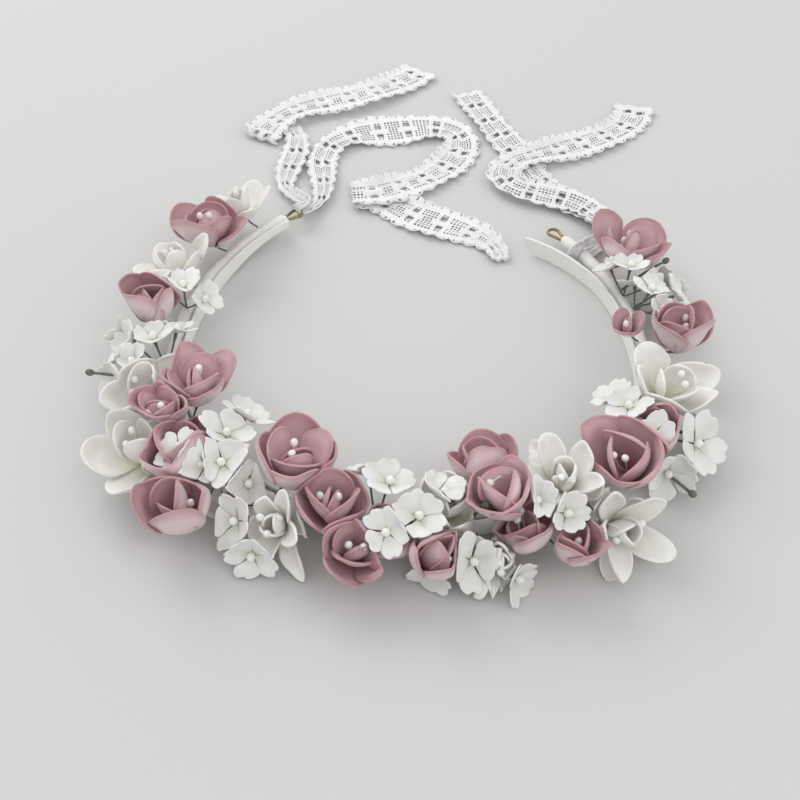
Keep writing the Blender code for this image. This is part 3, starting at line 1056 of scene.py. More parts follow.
@dataclass
class Crowd:
    """Every flower's place and size, so that each keeps to its own side of its neighbours."""

    softness: float = 0.0016
    closeness: float = 0.74
    slack: float = 0.22
    rounds: int = 16
    low: float = 0.55
    high: float = 0.62
    margin: float = 0.85
    hinge_room: float = 0.0030
    members: list["Flower"] = field(default_factory=list)

    def spread(self) -> None:
        """Move flowers that crowd each other a little apart, small ones more than large ones."""
        homes = [member.centre.copy() for member in self.members]
        ceiling = CAD_BOX[1][2]
        for _ in range(self.rounds):
            for i, first in enumerate(self.members):
                for second in self.members[i + 1:]:
                    gap = second.centre - first.centre
                    want = self.closeness * (first.radius + second.radius)
                    if not 1e-5 < gap.length < want:
                        continue
                    push = gap.normalized() * (0.5 * (want - gap.length))
                    share = second.radius**3 / (first.radius**3 + second.radius**3)
                    first.move(-push * share)
                    second.move(push * (1.0 - share))
            for member, home in zip(self.members, homes):
                away = member.centre - home
                allowed = self.slack * member.radius
                if away.length > allowed:
                    member.move(away.normalized() * (allowed - away.length))
                lowest = self.low * member.radius
                highest = ceiling - self.high * member.radius
                height = min(max(member.centre.z, lowest), highest)
                edge = self.margin * member.radius
                x = min(max(member.centre.x, CAD_BOX[0][0] + edge), CAD_BOX[1][0] - edge)
                y = max(member.centre.y, CAD_BOX[0][1] + edge)
                member.move(Vector((x, y, height)) - member.centre)

    def limits(self, flower: "Flower") -> list[tuple[Vector, float]]:
        """The planes between a flower and its neighbours, with room for the arms to open between two bodies.

        Args:
            flower: the flower.

        Returns:
            For each neighbour, the direction to it and the distance to the plane between them.
        """
        planes = []
        centre, radius = flower.centre, flower.radius
        for member in self.members:
            gap = (member.centre - centre).length
            if 1e-5 < gap < 1.5 * (radius + member.radius):
                share = (gap * gap + radius * radius - member.radius * member.radius) / (2.0 * gap)
                if member.seat.body != flower.seat.body:
                    share -= self.hinge_room
                planes.append(((member.centre - centre).normalized(), max(share, 0.15 * radius)))
        return planes

    def room(self, planes: Sequence[tuple[Vector, float]], direction: Vector) -> float:
        """The free distance from a flower's centre in a direction.

        Args:
            planes: the planes between the flower and its neighbours, from limits().
            direction: the direction.

        Returns:
            The distance, or a metre where nothing is in the way.
        """
        free = [reach / normal.dot(direction) for normal, reach in planes if normal.dot(direction) > 0.15]
        return min(free, default=1.0)

    def press(self, verts: Sequence[bmesh.types.BMVert], flower: "Flower") -> None:
        """Press the points that would pass into a neighbour softly back.

        Args:
            verts: the points.
            flower: the flower that they belong to.
        """
        for normal, reach in self.limits(flower):
            start = reach - self.softness
            for vert in verts:
                beyond = (vert.co - flower.centre).dot(normal) - start
                if beyond > 0.0:
                    kept = self.softness * (1.0 - math.exp(-beyond / self.softness))
                    vert.co -= normal * (beyond - kept)


CROWD = Crowd()


@dataclass
class Flower:
    """A flower made of whorls of thick petals on a stem, with stamens or a bead in its middle."""

    node: str
    bloom: Bloom
    seat: Seat
    aside: tuple[float, float, float] = (0.0, 0.0, 0.0)
    scale: float = 1.0
    nod: tuple[float, float, float] = (0.0, 0.0, 0.0)
    filament_radius: float = 0.00022
    anther_radius: float = 0.00125
    anther_length: float = 0.00160
    stem_radius: float = 0.00036
    stem_flare: float = 0.0005
    stem_bow: float = 0.0004

    def __post_init__(self) -> None:
        """Set the flower's own axes, its middle and its place in the crowd."""
        self.dice = random.Random(f"{self.node} {self.aside}")
        along = UP.cross(self.seat.axis).normalized()
        outward = along.cross(UP)
        lean = Vector([self.dice.uniform(-0.16, 0.16) for _ in range(3)])
        shift = along * self.aside[0] + outward * self.aside[1] + UP * self.aside[2]
        nod = along * self.nod[0] + outward * self.nod[1] + UP * self.nod[2]
        self.facing = (self.seat.axis + UP * self.bloom.face_up + lean + shift * 0.8 + nod).normalized()
        self.side = self.facing.cross(Vector((0.31, 0.9, 0.2))).normalized()
        self.other = self.facing.cross(self.side)
        self.radius = self.seat.radius * self.bloom.scale * self.scale
        heart = self.seat.heart + shift * self.seat.radius
        self.middle = heart - self.facing * (self.bloom.sink * self.radius)
        self.centre = self.middle + self.facing * (0.45 * self.radius)
        CROWD.members.append(self)

    def move(self, step: Vector) -> None:
        """Move the whole flower."""
        self.middle += step
        self.centre += step

    def petal(self, shape: bmesh.types.BMesh, whorl: Whorl, bearing: float) -> None:
        """Add one petal.

        Args:
            shape: the mesh that takes it.
            whorl: its whorl.
            bearing: its direction round the flower, in radians.
        """
        dice, form, radius = self.dice, whorl.petal, self.radius
        out = self.side * math.cos(bearing) + self.other * math.sin(bearing)
        right = self.facing.cross(out)
        length = form.length * radius * dice.uniform(0.92, 1.08)
        width = form.half_width * radius * dice.uniform(0.9, 1.1)
        room = CROWD.room(CROWD.limits(self), out)
        opening = smooth_step(room / radius, 0.45, 1.15)
        wander = self.bloom.wander
        held, opened = form.held_leans, form.open_leans
        base_lean = held[0] + (opened[0] - held[0]) * opening + dice.uniform(-1.0, 1.0) * wander
        tip_lean = held[1] + (opened[1] - held[1]) * opening + dice.uniform(-1.3, 1.3) * wander
        base_lean, tip_lean = math.radians(base_lean), math.radians(tip_lean)
        bend = tip_lean - base_lean
        bend = bend if abs(bend) > 0.05 else 0.05
        cup = form.cup * dice.uniform(0.85, 1.15) / radius
        phase = dice.uniform(0.0, 6.28)
        twist = dice.uniform(-0.22, 0.22)
        skew = dice.uniform(-0.12, 0.12)

        def place(u: float, v: float) -> Vector:
            """A point of the petal's middle surface, from a square mapped to a round outline.

            Args:
                u: its place across, from 0 to 1.
                v: its place along, from 0 to 1.

            Returns:
                The point.
            """
            round_x, round_y = rounded(u, v)
            reach = 0.5 * (round_y + 1.0)
            edge = smooth_step(math.hypot(round_x, round_y), 0.62, 1.0)
            spread = form.taper + (1.0 - form.taper) * smooth_step(reach, 0.0, 0.62)
            reach *= 1.0 - form.notch * edge * math.exp(-((round_x / 0.2) ** 2)) + skew * round_x * edge * 0.5
            lean = base_lean + bend * reach
            outward = length / bend * (math.cos(base_lean) - math.cos(lean))
            upward = length / bend * (math.sin(lean) - math.sin(base_lean))
            arc = round_x * spread * width * cup
            sideways = math.sin(arc) / cup + twist * (reach**2) * width
            inward = (1.0 - math.cos(arc)) / cup * smooth_step(reach, 0.0, 0.3)
            ripple = form.ruffle * math.sin(3.2 * math.atan2(round_x, round_y + 1.4) + phase)
            inward -= edge * smooth_step(reach, 0.3, 0.7) * (form.lip + ripple) * radius
            return (
                self.middle
                + self.facing * (upward + whorl.lift * radius + inward * math.sin(lean))
                + out * (outward + 0.05 * radius - inward * math.cos(lean))
                + right * sideways
            )

        layers = shape.verts.layers.float
        inside, along, rim = layers["inside"], layers["along"], layers["rim"]
        uv = shape.loops.layers.uv.verify()
        made = mapped_grid(shape, 9, 10, place)
        faces = list({face for vert in made for face in vert.link_faces})
        # The share along each petal and its edge mask, which the petal finish uses to paint shade at the
        # rose's base and edges.
        for face in faces:
            for loop in face.loops:
                round_x, round_y = rounded(*loop[uv].uv)
                loop.vert[along] = 0.5 * (round_y + 1.0)
                edge = smooth_step(math.hypot(round_x, round_y), 0.62, 1.02)
                loop.vert[rim] = edge * smooth_step(round_y, -0.6, 0.2)
        centre = sum((vert.co for vert in made), Vector()) / len(made)
        above = self.middle + self.facing * (0.75 * length)
        middle_face = min(faces, key=lambda face: (face.calc_center_median() - centre).length)
        middle_face.normal_update()
        if middle_face.normal.dot(above - middle_face.calc_center_median()) > 0.0:
            bmesh.ops.reverse_faces(shape, faces=faces)
        CROWD.press(made, self)
        for vert in thicken(shape, faces, form.thickness):
            vert[inside] = 1.0

    def petals(self, shape: bmesh.types.BMesh) -> None:
        """Add every petal of every whorl.

        Args:
            shape: the mesh that takes them.
        """
        for whorl in self.bloom.whorls:
            start = math.radians(whorl.start) + self.dice.uniform(0.0, 6.28)
            for i in range(whorl.count):
                bearing = start + 2.0 * math.pi * i / whorl.count + self.dice.uniform(-0.14, 0.14)
                self.petal(shape, whorl, bearing)

    def middle_parts(self, shape: bmesh.types.BMesh) -> None:
        """Add the stamens, or the bead in the middle of a floret.

        Args:
            shape: the mesh that takes them.
        """
        if self.bloom.bead:
            place = self.middle + self.facing * (0.2 * self.radius)
            ball(shape, place, self.facing, self.bloom.bead, 1.1 * self.bloom.bead, 1)
            return
        for _ in range(self.bloom.stamens):
            bearing = self.dice.uniform(0.0, 6.28)
            spread = self.side * math.cos(bearing) + self.other * math.sin(bearing)
            tip = (
                self.middle
                + self.facing * (self.radius * self.dice.uniform(0.85, 1.1))
                + spread * (self.radius * self.dice.uniform(0.1, 0.35))
            )
            bow = (self.middle + tip) / 2.0 + spread * (0.06 * self.radius)
            points = line_through([self.middle, bow, tip], 4)
            tube(shape, points, lambda v, turn: self.filament_radius, 6, 1)
            ball(shape, tip, (tip - bow).normalized(), self.anther_radius, self.anther_length, 1)

    def stem(self, shape: bmesh.types.BMesh) -> None:
        """Add the short stem from the wrap to the flower's base.

        Args:
            shape: the mesh that takes it.
        """
        start = self.seat.root + self.seat.axis * STEM_START
        bow = (start + self.middle) / 2.0 + self.seat.axis.cross(self.side) * self.stem_bow
        points = line_through([start, bow, self.middle], 4)
        flare = self.stem_flare
        tube(shape, points, lambda v, turn: self.stem_radius + flare * smooth_step(v, 0.7, 1.0), 8, 2)


ROSE_OUTER = PetalShape(1.78, 0.90, (88.0, 6.0), (60.0, -8.0), cup=1.05, lip=0.08, ruffle=0.085)
ROSE_MIDDLE = PetalShape(1.42, 0.74, (62.0, -2.0), (46.0, -14.0), cup=1.15, lip=0.06, ruffle=0.07)
ROSE_INNER = PetalShape(1.12, 0.50, (34.0, -30.0), (30.0, -34.0), cup=1.50, lip=0.03)
BROAD_OUTER = PetalShape(1.70, 0.72, (86.0, 22.0), (60.0, 0.0), cup=1.05, lip=0.05, ruffle=0.05)
BROAD_INNER = PetalShape(1.25, 0.52, (52.0, -8.0), (40.0, -18.0), cup=1.50, lip=0.03, ruffle=0.05)
CURLED_OUTER = PetalShape(
    1.72, 0.40, (52.0, 118.0), (38.0, 84.0), cup=2.60, lip=-0.02, ruffle=0.07, taper=0.6
)
CURLED_MIDDLE = PetalShape(1.55, 0.42, (44.0, 52.0), (32.0, 30.0), cup=2.40, ruffle=0.08, taper=0.6)
CURLED_INNER = PetalShape(1.20, 0.38, (30.0, -10.0), (26.0, -16.0), cup=2.20, ruffle=0.05, taper=0.6)
FLORET_PETAL = PetalShape(
    1.12, 0.52, (82.0, 60.0), (66.0, 44.0), cup=0.55, lip=0.03, ruffle=0.03,
    notch=0.15, taper=0.22, thickness=0.0005,
)
CUPPED_OUTER = PetalShape(1.80, 0.92, (68.0, -8.0), (54.0, -16.0), cup=1.10, lip=0.09, ruffle=0.085)
CUPPED_INNER = PetalShape(1.45, 0.72, (46.0, -20.0), (36.0, -26.0), cup=1.30, lip=0.06, ruffle=0.07)
ROSE = Bloom(
    (Whorl(ROSE_OUTER, 4), Whorl(ROSE_MIDDLE, 3, 40.0, 0.06), Whorl(ROSE_INNER, 2, 0.0, 0.1)),
    Finish.ROSE, 0.8, scale=0.98, wander=10.0,
)
ROSE_CUPPED = Bloom(
    (Whorl(CUPPED_OUTER, 4), Whorl(CUPPED_INNER, 3, 40.0, 0.05)), Finish.ROSE, 0.8, wander=13.0,
)
ROSE_BUD = Bloom((Whorl(ROSE_MIDDLE, 3), Whorl(ROSE_INNER, 2, 50.0)), Finish.ROSE, 0.8, stamens=1)
IVORY_BROAD = Bloom((Whorl(BROAD_OUTER, 5), Whorl(BROAD_INNER, 3, 30.0, 0.08)), Finish.IVORY, 0.8, scale=1.1)
IVORY_CURLED = Bloom(
    (Whorl(CURLED_OUTER, 5), Whorl(CURLED_MIDDLE, 5, 30.0, 0.05), Whorl(CURLED_INNER, 3, 0.0, 0.1)),
    Finish.IVORY, 0.8, scale=1.05, stamens=3, face_up=0.7,
)
FLORET = Bloom((Whorl(FLORET_PETAL, 5),), Finish.FLORET, 0.34, sink=0.0, bead=0.0014, face_up=0.5, wander=4.0)


@dataclass
class Spray:
    """What one CAD flower node is shown as: one blossom, two blossoms or three florets, each on its stem."""

    node: str
    flowers: list[Flower] = field(default_factory=list)

    def add(self, bloom: Bloom, **placing: object) -> None:
        """Add a flower to the spray.

        Args:
            bloom: its kind.
            placing: its aside, nod and scale, as in Flower.
        """
        self.flowers.append(Flower(self.node, bloom, Seat.of(self.node, bloom.rim), **placing))

    def build(self) -> bpy.types.Object:
        """Make the spray as one piece that stands for its CAD node.

        Returns:
            The piece.
        """
        shape = bmesh.new()
        for name in ("inside", "along", "rim"):
            shape.verts.layers.float.new(name)
        for flower in self.flowers:
            flower.petals(shape)
            flower.middle_parts(shape)
            flower.stem(shape)
        settle(shape)
        finish = self.flowers[0].bloom.finish
        piece = to_object(f"{self.node}_spray", shape, [finish, Finish.STAMEN, Finish.STEM], finish)
        subdivided(piece, 1)
        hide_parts(self.node)
        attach(piece, self.flowers[0].seat.body)
        return piece


@dataclass
class BeadStem:
    """A bare bowed stem wire with a small bead on its end."""

    node: str
    radius: float = 0.0005
    bead: float = 0.0012
    bow: float = 0.0011

    def build(self) -> bpy.types.Object:
        """Make the stem as a piece that stands for its CAD node.

        Returns:
            The piece.
        """
        seat = Seat.of(self.node, 0.0)
        reach = max((vert.co - seat.root).length for vert in frame["nodes"][self.node].data.vertices)
        start = seat.root + seat.axis * STEM_START
        tip = seat.root + seat.axis * (reach - self.bead)
        bow = (start + tip) / 2.0 + UP * self.bow
        shape = bmesh.new()
        tube(shape, line_through([start, bow, tip], 8), lambda v, turn: self.radius, 8)
        ball(shape, tip, seat.axis, self.bead, 1.3 * self.bead, 0)
        piece = to_object(f"{self.node}_wire", shape, [Finish.STEM], Finish.STEM)
        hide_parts(self.node)
        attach(piece, seat.body)
        return piece


@dataclass
class Flowers:
    """Every blossom, floret and bare stem of the crown."""

    curled: tuple[str, ...] = ("front_low", "right_front", "right_low", "front_left")
    cupped: tuple[str, ...] = (
        "left_low", "left_side", "front_low", "front_right", "right_low", "right_shoulder", "right_side",
    )
    rear_scale: float = 1.12
    paired: tuple[str, ...] = (
        "left_shoulder", "left_low", "front_left", "front_low", "front_right", "right_low", "right_shoulder",
    )
    pair_places: tuple[tuple[float, float, float], ...] = ((-0.42, -0.1, 0.1), (0.55, 0.15, -0.1))
    pair_scales: tuple[float, ...] = (0.94, 0.82)
    floret_places: tuple[tuple[float, float, float], ...] = (
        (0.0, 0.1, 0.1), (1.1, 0.2, -0.3), (-1.1, -0.1, -0.2),
    )
    floret_scale: float = 0.92
    floret_shrink: float = 0.05
    nods: dict[str, tuple[float, float, float]] = field(default_factory=lambda: {
        "rose_bloom_left_rear": (0.0, -0.3, 0.6),
        "rose_bloom_left_side": (0.3, -0.7, 0.8),
        "rose_bloom_left_low": (-0.4, -0.9, 0.8),
        "rose_bloom_front_left": (0.3, -0.6, 0.8),
        "rose_bloom_front_low": (0.4, -1.1, 0.8),
        "rose_bloom_front_right": (0.9, -0.5, 0.4),
        "rose_bloom_right_low": (-0.3, -1.1, 0.8),
        "rose_bloom_right_shoulder": (-0.5, -1.0, 0.8),
        "rose_bloom_right_side": (0.4, -0.7, 0.6),
        "rose_bloom_right_rear": (0.0, -0.6, 0.8),
        "ivory_bloom_left_low": (0.0, -0.7, 0.6),
        "ivory_bloom_left_shoulder": (0.2, -0.5, 0.6),
    })

    def bloom_of(self, node: str) -> Bloom:
        """The kind of flower that a CAD node is shown as.

        Args:
            node: the CAD node's name.

        Returns:
            The kind.
        """
        if node.startswith("rose_bud"):
            return ROSE_BUD
        if node.startswith("rose"):
            return ROSE_CUPPED if node.removeprefix("rose_bloom_") in self.cupped else ROSE
        if node.startswith("ivory"):
            return IVORY_CURLED if node.removeprefix("ivory_bloom_") in self.curled else IVORY_BROAD
        return FLORET

    def spray_of(self, node: str) -> Spray:
        """Place the flowers that stand for a CAD node.

        Args:
            node: the CAD node's name.

        Returns:
            Its spray, with nothing made yet.
        """
        spray = Spray(node)
        bloom = self.bloom_of(node)
        nod = self.nods.get(node, (0.0, 0.0, 0.0))
        if bloom is FLORET:
            for i, place in enumerate(self.floret_places):
                spray.add(bloom, aside=place, scale=self.floret_scale - self.floret_shrink * i)
        elif node.removeprefix("rose_bloom_") in self.paired:
            for place, scale in zip(self.pair_places, self.pair_scales):
                spray.add(bloom, aside=place, scale=scale, nod=nod)
        else:
            spray.add(bloom, scale=self.rear_scale if node.endswith("rear") else 1.0, nod=nod)
        return spray

    def build(self) -> list[bpy.types.Object]:
        """Place every flower first, so that each knows its neighbours, and then make them.

        Returns:
            The pieces.
        """
        makers: list[Spray | BeadStem] = []
        for node in sorted(frame["nodes"]):
            if node.startswith("bead_stem"):
                makers.append(BeadStem(node))
            elif node.startswith(("rose", "ivory", "floret")):
                makers.append(self.spray_of(node))
        CROWD.spread()
        return [maker.build() for maker in makers]


# ---------------------------------------------------------------- lace


Station = tuple[Vector, float, Vector]


@dataclass
class LaceRibbon:
    """A cotton lace ribbon: a net ground with two rows of eyelets and scalloped edges, laid along its route.

    Routes are rows of x, y, the height of the ribbon's middle and its gathered width, in millimetres from
    the middle of the band.
    """

    name: str
    cloth_width: float = 0.0190
    row_length: float = 0.00142
    columns: int = 12
    repeat: int = 9
    scallop: float = 0.0017
    thread: float = 0.00036
    thickness: float = 0.00045
    pleats: float = 2.5
    fold_steps: int = 8
    eyelet_columns: tuple[int, ...] = (3, 4, 7, 8)
    eyelet_rows: tuple[int, ...] = (3, 4)
    edge_start: float = 0.62
    full_scallop_width: float = 0.010
    deepest_pleat: float = 0.0020
    fullness: float = 0.7
    edge_curl: float = 0.0009
    sideways_drift: float = 0.0006
    floor_softness: float = 0.0006

    def stretch(self, route: Sequence[Sequence[float]], side: int) -> list[Station]:
        """Places, widths and sideways directions along a flat run.

        Args:
            route: its rows.
            side: 1 or -1, for the face that is up.

        Returns:
            The stations.
        """
        rows = curved(route, 3)
        places = [Vector(row[:3]) for row in rows]
        result = []
        for i, place in enumerate(places):
            heading = places[min(i + 1, len(places) - 1)] - places[max(i - 1, 0)]
            heading.z = 0.0
            result.append((place, rows[i][3], UP.cross(heading).normalized() * side))
        return result

    def fold(
        self, centre: Vector, forward: Vector, radius: float, width: float, across: Vector, down: bool = True
    ) -> list[Station]:
        """A half turn that takes the ribbon back over or under itself.

        Args:
            centre: the middle of the turn.
            forward: the heading before it.
            radius: its radius.
            width: the gathered width.
            across: the sideways direction.
            down: True if the ribbon goes under itself.

        Returns:
            The stations.
        """
        sense = 1.0 if down else -1.0
        result = []
        for i in range(self.fold_steps + 1):
            turn = math.pi * i / self.fold_steps
            place = centre + forward * (radius * math.sin(turn)) + UP * (sense * radius * math.cos(turn))
            result.append((place, width, across))
        return result

    def fold_between(self, before: list[Station], after: list[Station]) -> list[Station]:
        """The fold from the end of one run to the level of the next.

        Args:
            before: the run that ends.
            after: the run that starts.

        Returns:
            The stations.
        """
        end, width, across = before[-1]
        start = after[0][0]
        centre = Vector((end.x, end.y, (end.z + start.z) / 2.0))
        forward = end - before[-2][0]
        forward.z = 0.0
        radius = abs(end.z - start.z) / 2.0
        return self.fold(centre, forward.normalized(), radius, width, across, end.z > start.z)

    def resampled(self, stations: Sequence[Station]) -> list[Station]:
        """Even stations, a row of the cloth apart.

        Args:
            stations: the uneven ones.

        Returns:
            The stations.
        """
        lengths = [0.0]
        for a, b in zip(stations, stations[1:]):
            lengths.append(lengths[-1] + (b[0] - a[0]).length * MM)
        table = np.array([[*s[0], s[1], *s[2]] for s in stations])
        count = max(2, round(lengths[-1] / self.row_length))
        places = np.linspace(0.0, lengths[-1], count + 1)
        columns = [np.interp(places, lengths, table[:, k]) for k in range(7)]
        return [
            (Vector(row[:3]), float(row[3]), Vector(row[4:7]).normalized()) for row in np.array(columns).T
        ]

    def is_eyelet(self, column: int, row: int) -> bool:
        """Whether a cell of the net is part of a large eyelet."""
        return column in self.eyelet_columns and row % self.repeat in self.eyelet_rows

    def is_net(self, column: int, row: int) -> bool:
        """Whether a cell of the net is a small hole.

        Args:
            column: its place across the cloth.
            row: its place along the cloth.

        Returns:
            True for a hole.
        """
        step = row % self.repeat
        if column in (0, 11):
            return step % 3 == 1
        if column in (5, 6):
            return step in (0, 7, 8)
        return column not in (1, 10) and step not in (2, 5)

    def build(self, stations: Sequence[Station], node: str, body: str) -> tuple[bpy.types.Object, float]:
        """Make the ribbon.

        Args:
            stations: its route.
            node: the CAD node that it stands for.
            body: the body that it rides on.

        Returns:
            The piece and its length.
        """
        rows = self.resampled(stations)
        count = len(rows) - 1

        def place(u: float, v: float) -> Vector:
            """A point of the cloth, gathered into shallow pleats where it is drawn narrow.

            Args:
                u: its place across, from 0 to 1.
                v: its place along, from 0 to 1.

            Returns:
                The point.
            """
            index = round(v * count)
            middle, width, across = rows[index]
            ahead = rows[min(index + 1, count)][0] - rows[max(index - 1, 0)][0]
            normal = ahead.normalized().cross(across).normalized()
            normal = normal if normal.z >= 0.0 else -normal
            width *= MM
            x = 2.0 * u - 1.0
            edge = smooth_step(abs(x), self.edge_start, 1.0)
            scallop = self.scallop * abs(math.sin(math.pi * index / (0.5 * self.repeat))) * edge
            scallop *= min(1.0, width / self.full_scallop_width)
            spare = max(0.0, (self.cloth_width / max(width, 0.001)) ** 2 - 1.0)
            pleat = width / (math.pi * self.pleats) * math.sqrt(spare) * self.fullness
            height = min(self.deepest_pleat, pleat)
            wave = math.cos(2.0 * math.pi * self.pleats * u + 0.9 * math.sin(index * 0.11)) + 1.0
            curl = 1.0 + math.sin(index * 0.23 + 2.0 * math.copysign(1.0, x))
            lift = self.edge_curl * edge * curl
            drift = self.sideways_drift * math.sin(index * 0.19 + 1.3 * x)
            flat = BAND.centre + middle * MM
            return flat + across * (x * 0.5 * width + math.copysign(scallop, x) + drift) + normal * (
                0.5 * height * wave + lift
            )

        shape = bmesh.new()
        mapped_grid(shape, self.columns, count, place)
        uv = shape.loops.layers.uv.verify()
        grid = {}
        for face in shape.faces:
            u = sum(loop[uv].uv.x for loop in face.loops) / 4.0
            v = sum(loop[uv].uv.y for loop in face.loops) / 4.0
            grid[int(u * self.columns), int(v * count)] = face
        eyelets = [face for (column, row), face in grid.items() if self.is_eyelet(column, row)]
        net = [
            face for (column, row), face in grid.items()
            if self.is_net(column, row) and not self.is_eyelet(column, row) and 1 < row < count - 2
        ]
        shape.normal_update()
        bmesh.ops.inset_individual(shape, faces=net, thickness=self.thread)
        bmesh.ops.delete(shape, geom=[*net, *eyelets], context="FACES")
        settle(shape, floor=FLOOR_CLEARANCE + self.thickness, softness=self.floor_softness)
        piece = to_object(f"{self.name}_cloth", shape, [Finish.LACE], Finish.LACE)
        thick = piece.modifiers.new("thread", "SOLIDIFY")
        thick.thickness = self.thickness
        thick.offset = 0.0
        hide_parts(node)
        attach(piece, body)
        return piece, sum((b[0] - a[0]).length for a, b in zip(rows, rows[1:])) * MM


LEFT_LONG_TAIL = [
    (-5.0, 203.0, 0.6, 15.0), (-11.0, 194.0, 1.4, 16.0), (-20.0, 184.0, 2.3, 16.0),
    (-32.0, 175.0, 2.3, 15.5), (-46.0, 168.0, 2.3, 15.0), (-58.0, 161.0, 2.3, 14.5),
    (-67.0, 150.0, 2.3, 13.5), (-72.5, 138.0, 2.3, 13.0),
]
LEFT_RISER = [
    (-71.2, 140.8, 0.5, 10.0), (-69.0, 145.0, 0.5, 8.5), (-64.2, 147.6, 0.5, 8.0),
    (-59.2, 145.0, 0.5, 8.0), (-56.5, 138.5, 0.5, 8.5), (-56.0, 127.0, 0.5, 9.0),
    (-57.0, 113.0, 0.5, 8.0), (-56.5, 102.0, 1.2, 6.0), (-51.5, 93.0, 3.6, 3.8),
]
LEFT_LOOP = [
    (-42.3, 90.0, 1.6, 4.0), (-41.0, 99.0, 0.5, 7.5), (-42.5, 112.0, 0.5, 9.0),
    (-43.5, 126.0, 0.5, 10.0), (-39.0, 139.0, 0.5, 13.0), (-28.0, 147.0, 0.5, 18.0),
    (-13.0, 151.0, 0.5, 20.0), (2.0, 154.0, 0.5, 17.0), (12.5, 151.0, 0.5, 13.0),
    (16.0, 141.0, 0.5, 12.5), (11.0, 128.0, 0.5, 14.0), (2.0, 116.0, 0.8, 15.0),
    (-8.0, 106.5, 2.3, 15.0), (-18.0, 101.0, 2.3, 14.0), (-28.0, 99.0, 2.3, 14.0),
]
LEFT_SHORT_TAIL = [
    (-25.0, 99.6, 0.5, 14.0), (-15.0, 96.5, 0.5, 15.0), (-3.0, 89.0, 0.5, 17.0),
    (9.0, 84.5, 0.5, 17.0), (21.0, 79.0, 0.5, 14.0), (29.0, 71.0, 0.5, 8.0), (32.0, 62.5, 0.5, 6.0),
]
RIGHT_LONG_TAIL = [
    (94.0, 181.0, 0.5, 14.0), (91.0, 169.0, 0.5, 14.5), (83.0, 158.0, 0.5, 15.0),
    (71.0, 149.0, 0.8, 16.0), (57.0, 140.0, 1.9, 15.0), (44.0, 133.0, 1.9, 12.5),
    (35.5, 125.0, 1.9, 11.5), (34.0, 115.5, 1.9, 11.5), (41.0, 108.5, 1.9, 13.0),
    (53.0, 105.5, 1.9, 15.0), (64.0, 101.5, 1.9, 13.5), (71.5, 93.0, 1.9, 11.0),
    (74.0, 82.5, 3.4, 7.0), (70.5, 73.0, 6.9, 3.8),
]
RIGHT_SHORT_TAIL = [
    (70.5, 73.0, 0.9, 3.8), (74.0, 82.5, 0.5, 7.0), (71.0, 93.0, 0.5, 10.5),
    (62.5, 101.5, 0.5, 12.0), (53.5, 110.0, 0.5, 12.5), (47.0, 121.0, 0.5, 12.5),
    (42.0, 134.0, 0.5, 12.5), (35.0, 147.0, 0.5, 13.0), (27.5, 161.0, 0.5, 13.0),
    (22.0, 174.0, 0.5, 13.0), (17.0, 185.0, 0.5, 12.0),
]


@dataclass
class Lace:
    """The two ribbons: one through the left eye and one round the right arm."""

    gathered: float = 1.8
    lead_share: float = 1.3
    eye_fold: float = 1.7
    eye_lead: float = 3.4
    over_drop: float = 0.3
    under_drop: float = 0.4
    arm_fold: float = 3.3
    arm_angle: float = 130.0

    def pivot(self, body: str) -> Vector:
        """The place of a ribbon's joint, in millimetres from the middle of the band."""
        joint = next(joint for joint in frame["joints"] if joint["child"] == body)
        return (Vector(joint["pos_m"]) - BAND.centre) / MM

    def left(self) -> bpy.types.Object:
        """The left ribbon: a long tail, a fold through the eye, a loop and a short tail.

        Returns:
            The piece.
        """
        ribbon = LaceRibbon("lace_left")
        tip = self.pivot("left_ribbon")
        heading = BAND.along(-BAND.left_end)
        near = tip - heading * self.eye_lead
        lead = self.lead_share * self.gathered
        over = (near.x, near.y, tip.z + self.eye_fold - self.over_drop, lead)
        under = (near.x, near.y, tip.z - self.eye_fold - self.under_drop, lead)
        long_tail = ribbon.stretch(LEFT_LONG_TAIL, 1)
        riser = ribbon.stretch([*LEFT_RISER, over], -1)
        loop = ribbon.stretch([under, *LEFT_LOOP], 1)
        short_tail = ribbon.stretch(LEFT_SHORT_TAIL, -1)
        across = -UP.cross(heading).normalized()
        stations = [
            *long_tail[:-1],
            *ribbon.fold_between(long_tail, riser),
            *riser,
            *ribbon.fold(tip, heading, self.eye_fold, self.gathered, across),
            *loop[:-1],
            *ribbon.fold_between(loop, short_tail),
            *short_tail,
        ]
        return self.declared(ribbon, stations, "left")

    def right(self) -> bpy.types.Object:
        """The right ribbon: two tails from a fold round the wrapped arm.

        Returns:
            The piece.
        """
        ribbon = LaceRibbon("lace_right")
        centre = self.pivot("right_ribbon")
        inward = -BAND.outward(self.arm_angle)
        across = UP.cross(inward).normalized()
        stations = [
            *ribbon.stretch(RIGHT_LONG_TAIL, 1),
            *ribbon.fold(centre, inward, self.arm_fold, self.gathered, across),
            *ribbon.stretch(RIGHT_SHORT_TAIL, -1),
        ]
        return self.declared(ribbon, stations, "right")

    def declared(self, ribbon: LaceRibbon, stations: Sequence[Station], side: str) -> bpy.types.Object:
        """Args:
            ribbon: the ribbon.
            stations: its route.
            side: left or right.

        Returns:
            The piece.
        """
        piece, length = ribbon.build(stations, f"lace_ribbon_{side}", f"{side}_ribbon")
        LOG.info("%s ribbon is %.3f m long", side, length)
        return piece

    def build(self) -> list[bpy.types.Object]:
        """Make both ribbons.

        Returns:
            The pieces.
        """
        return [self.left(), self.right()]


# ---------------------------------------------------------------- studio


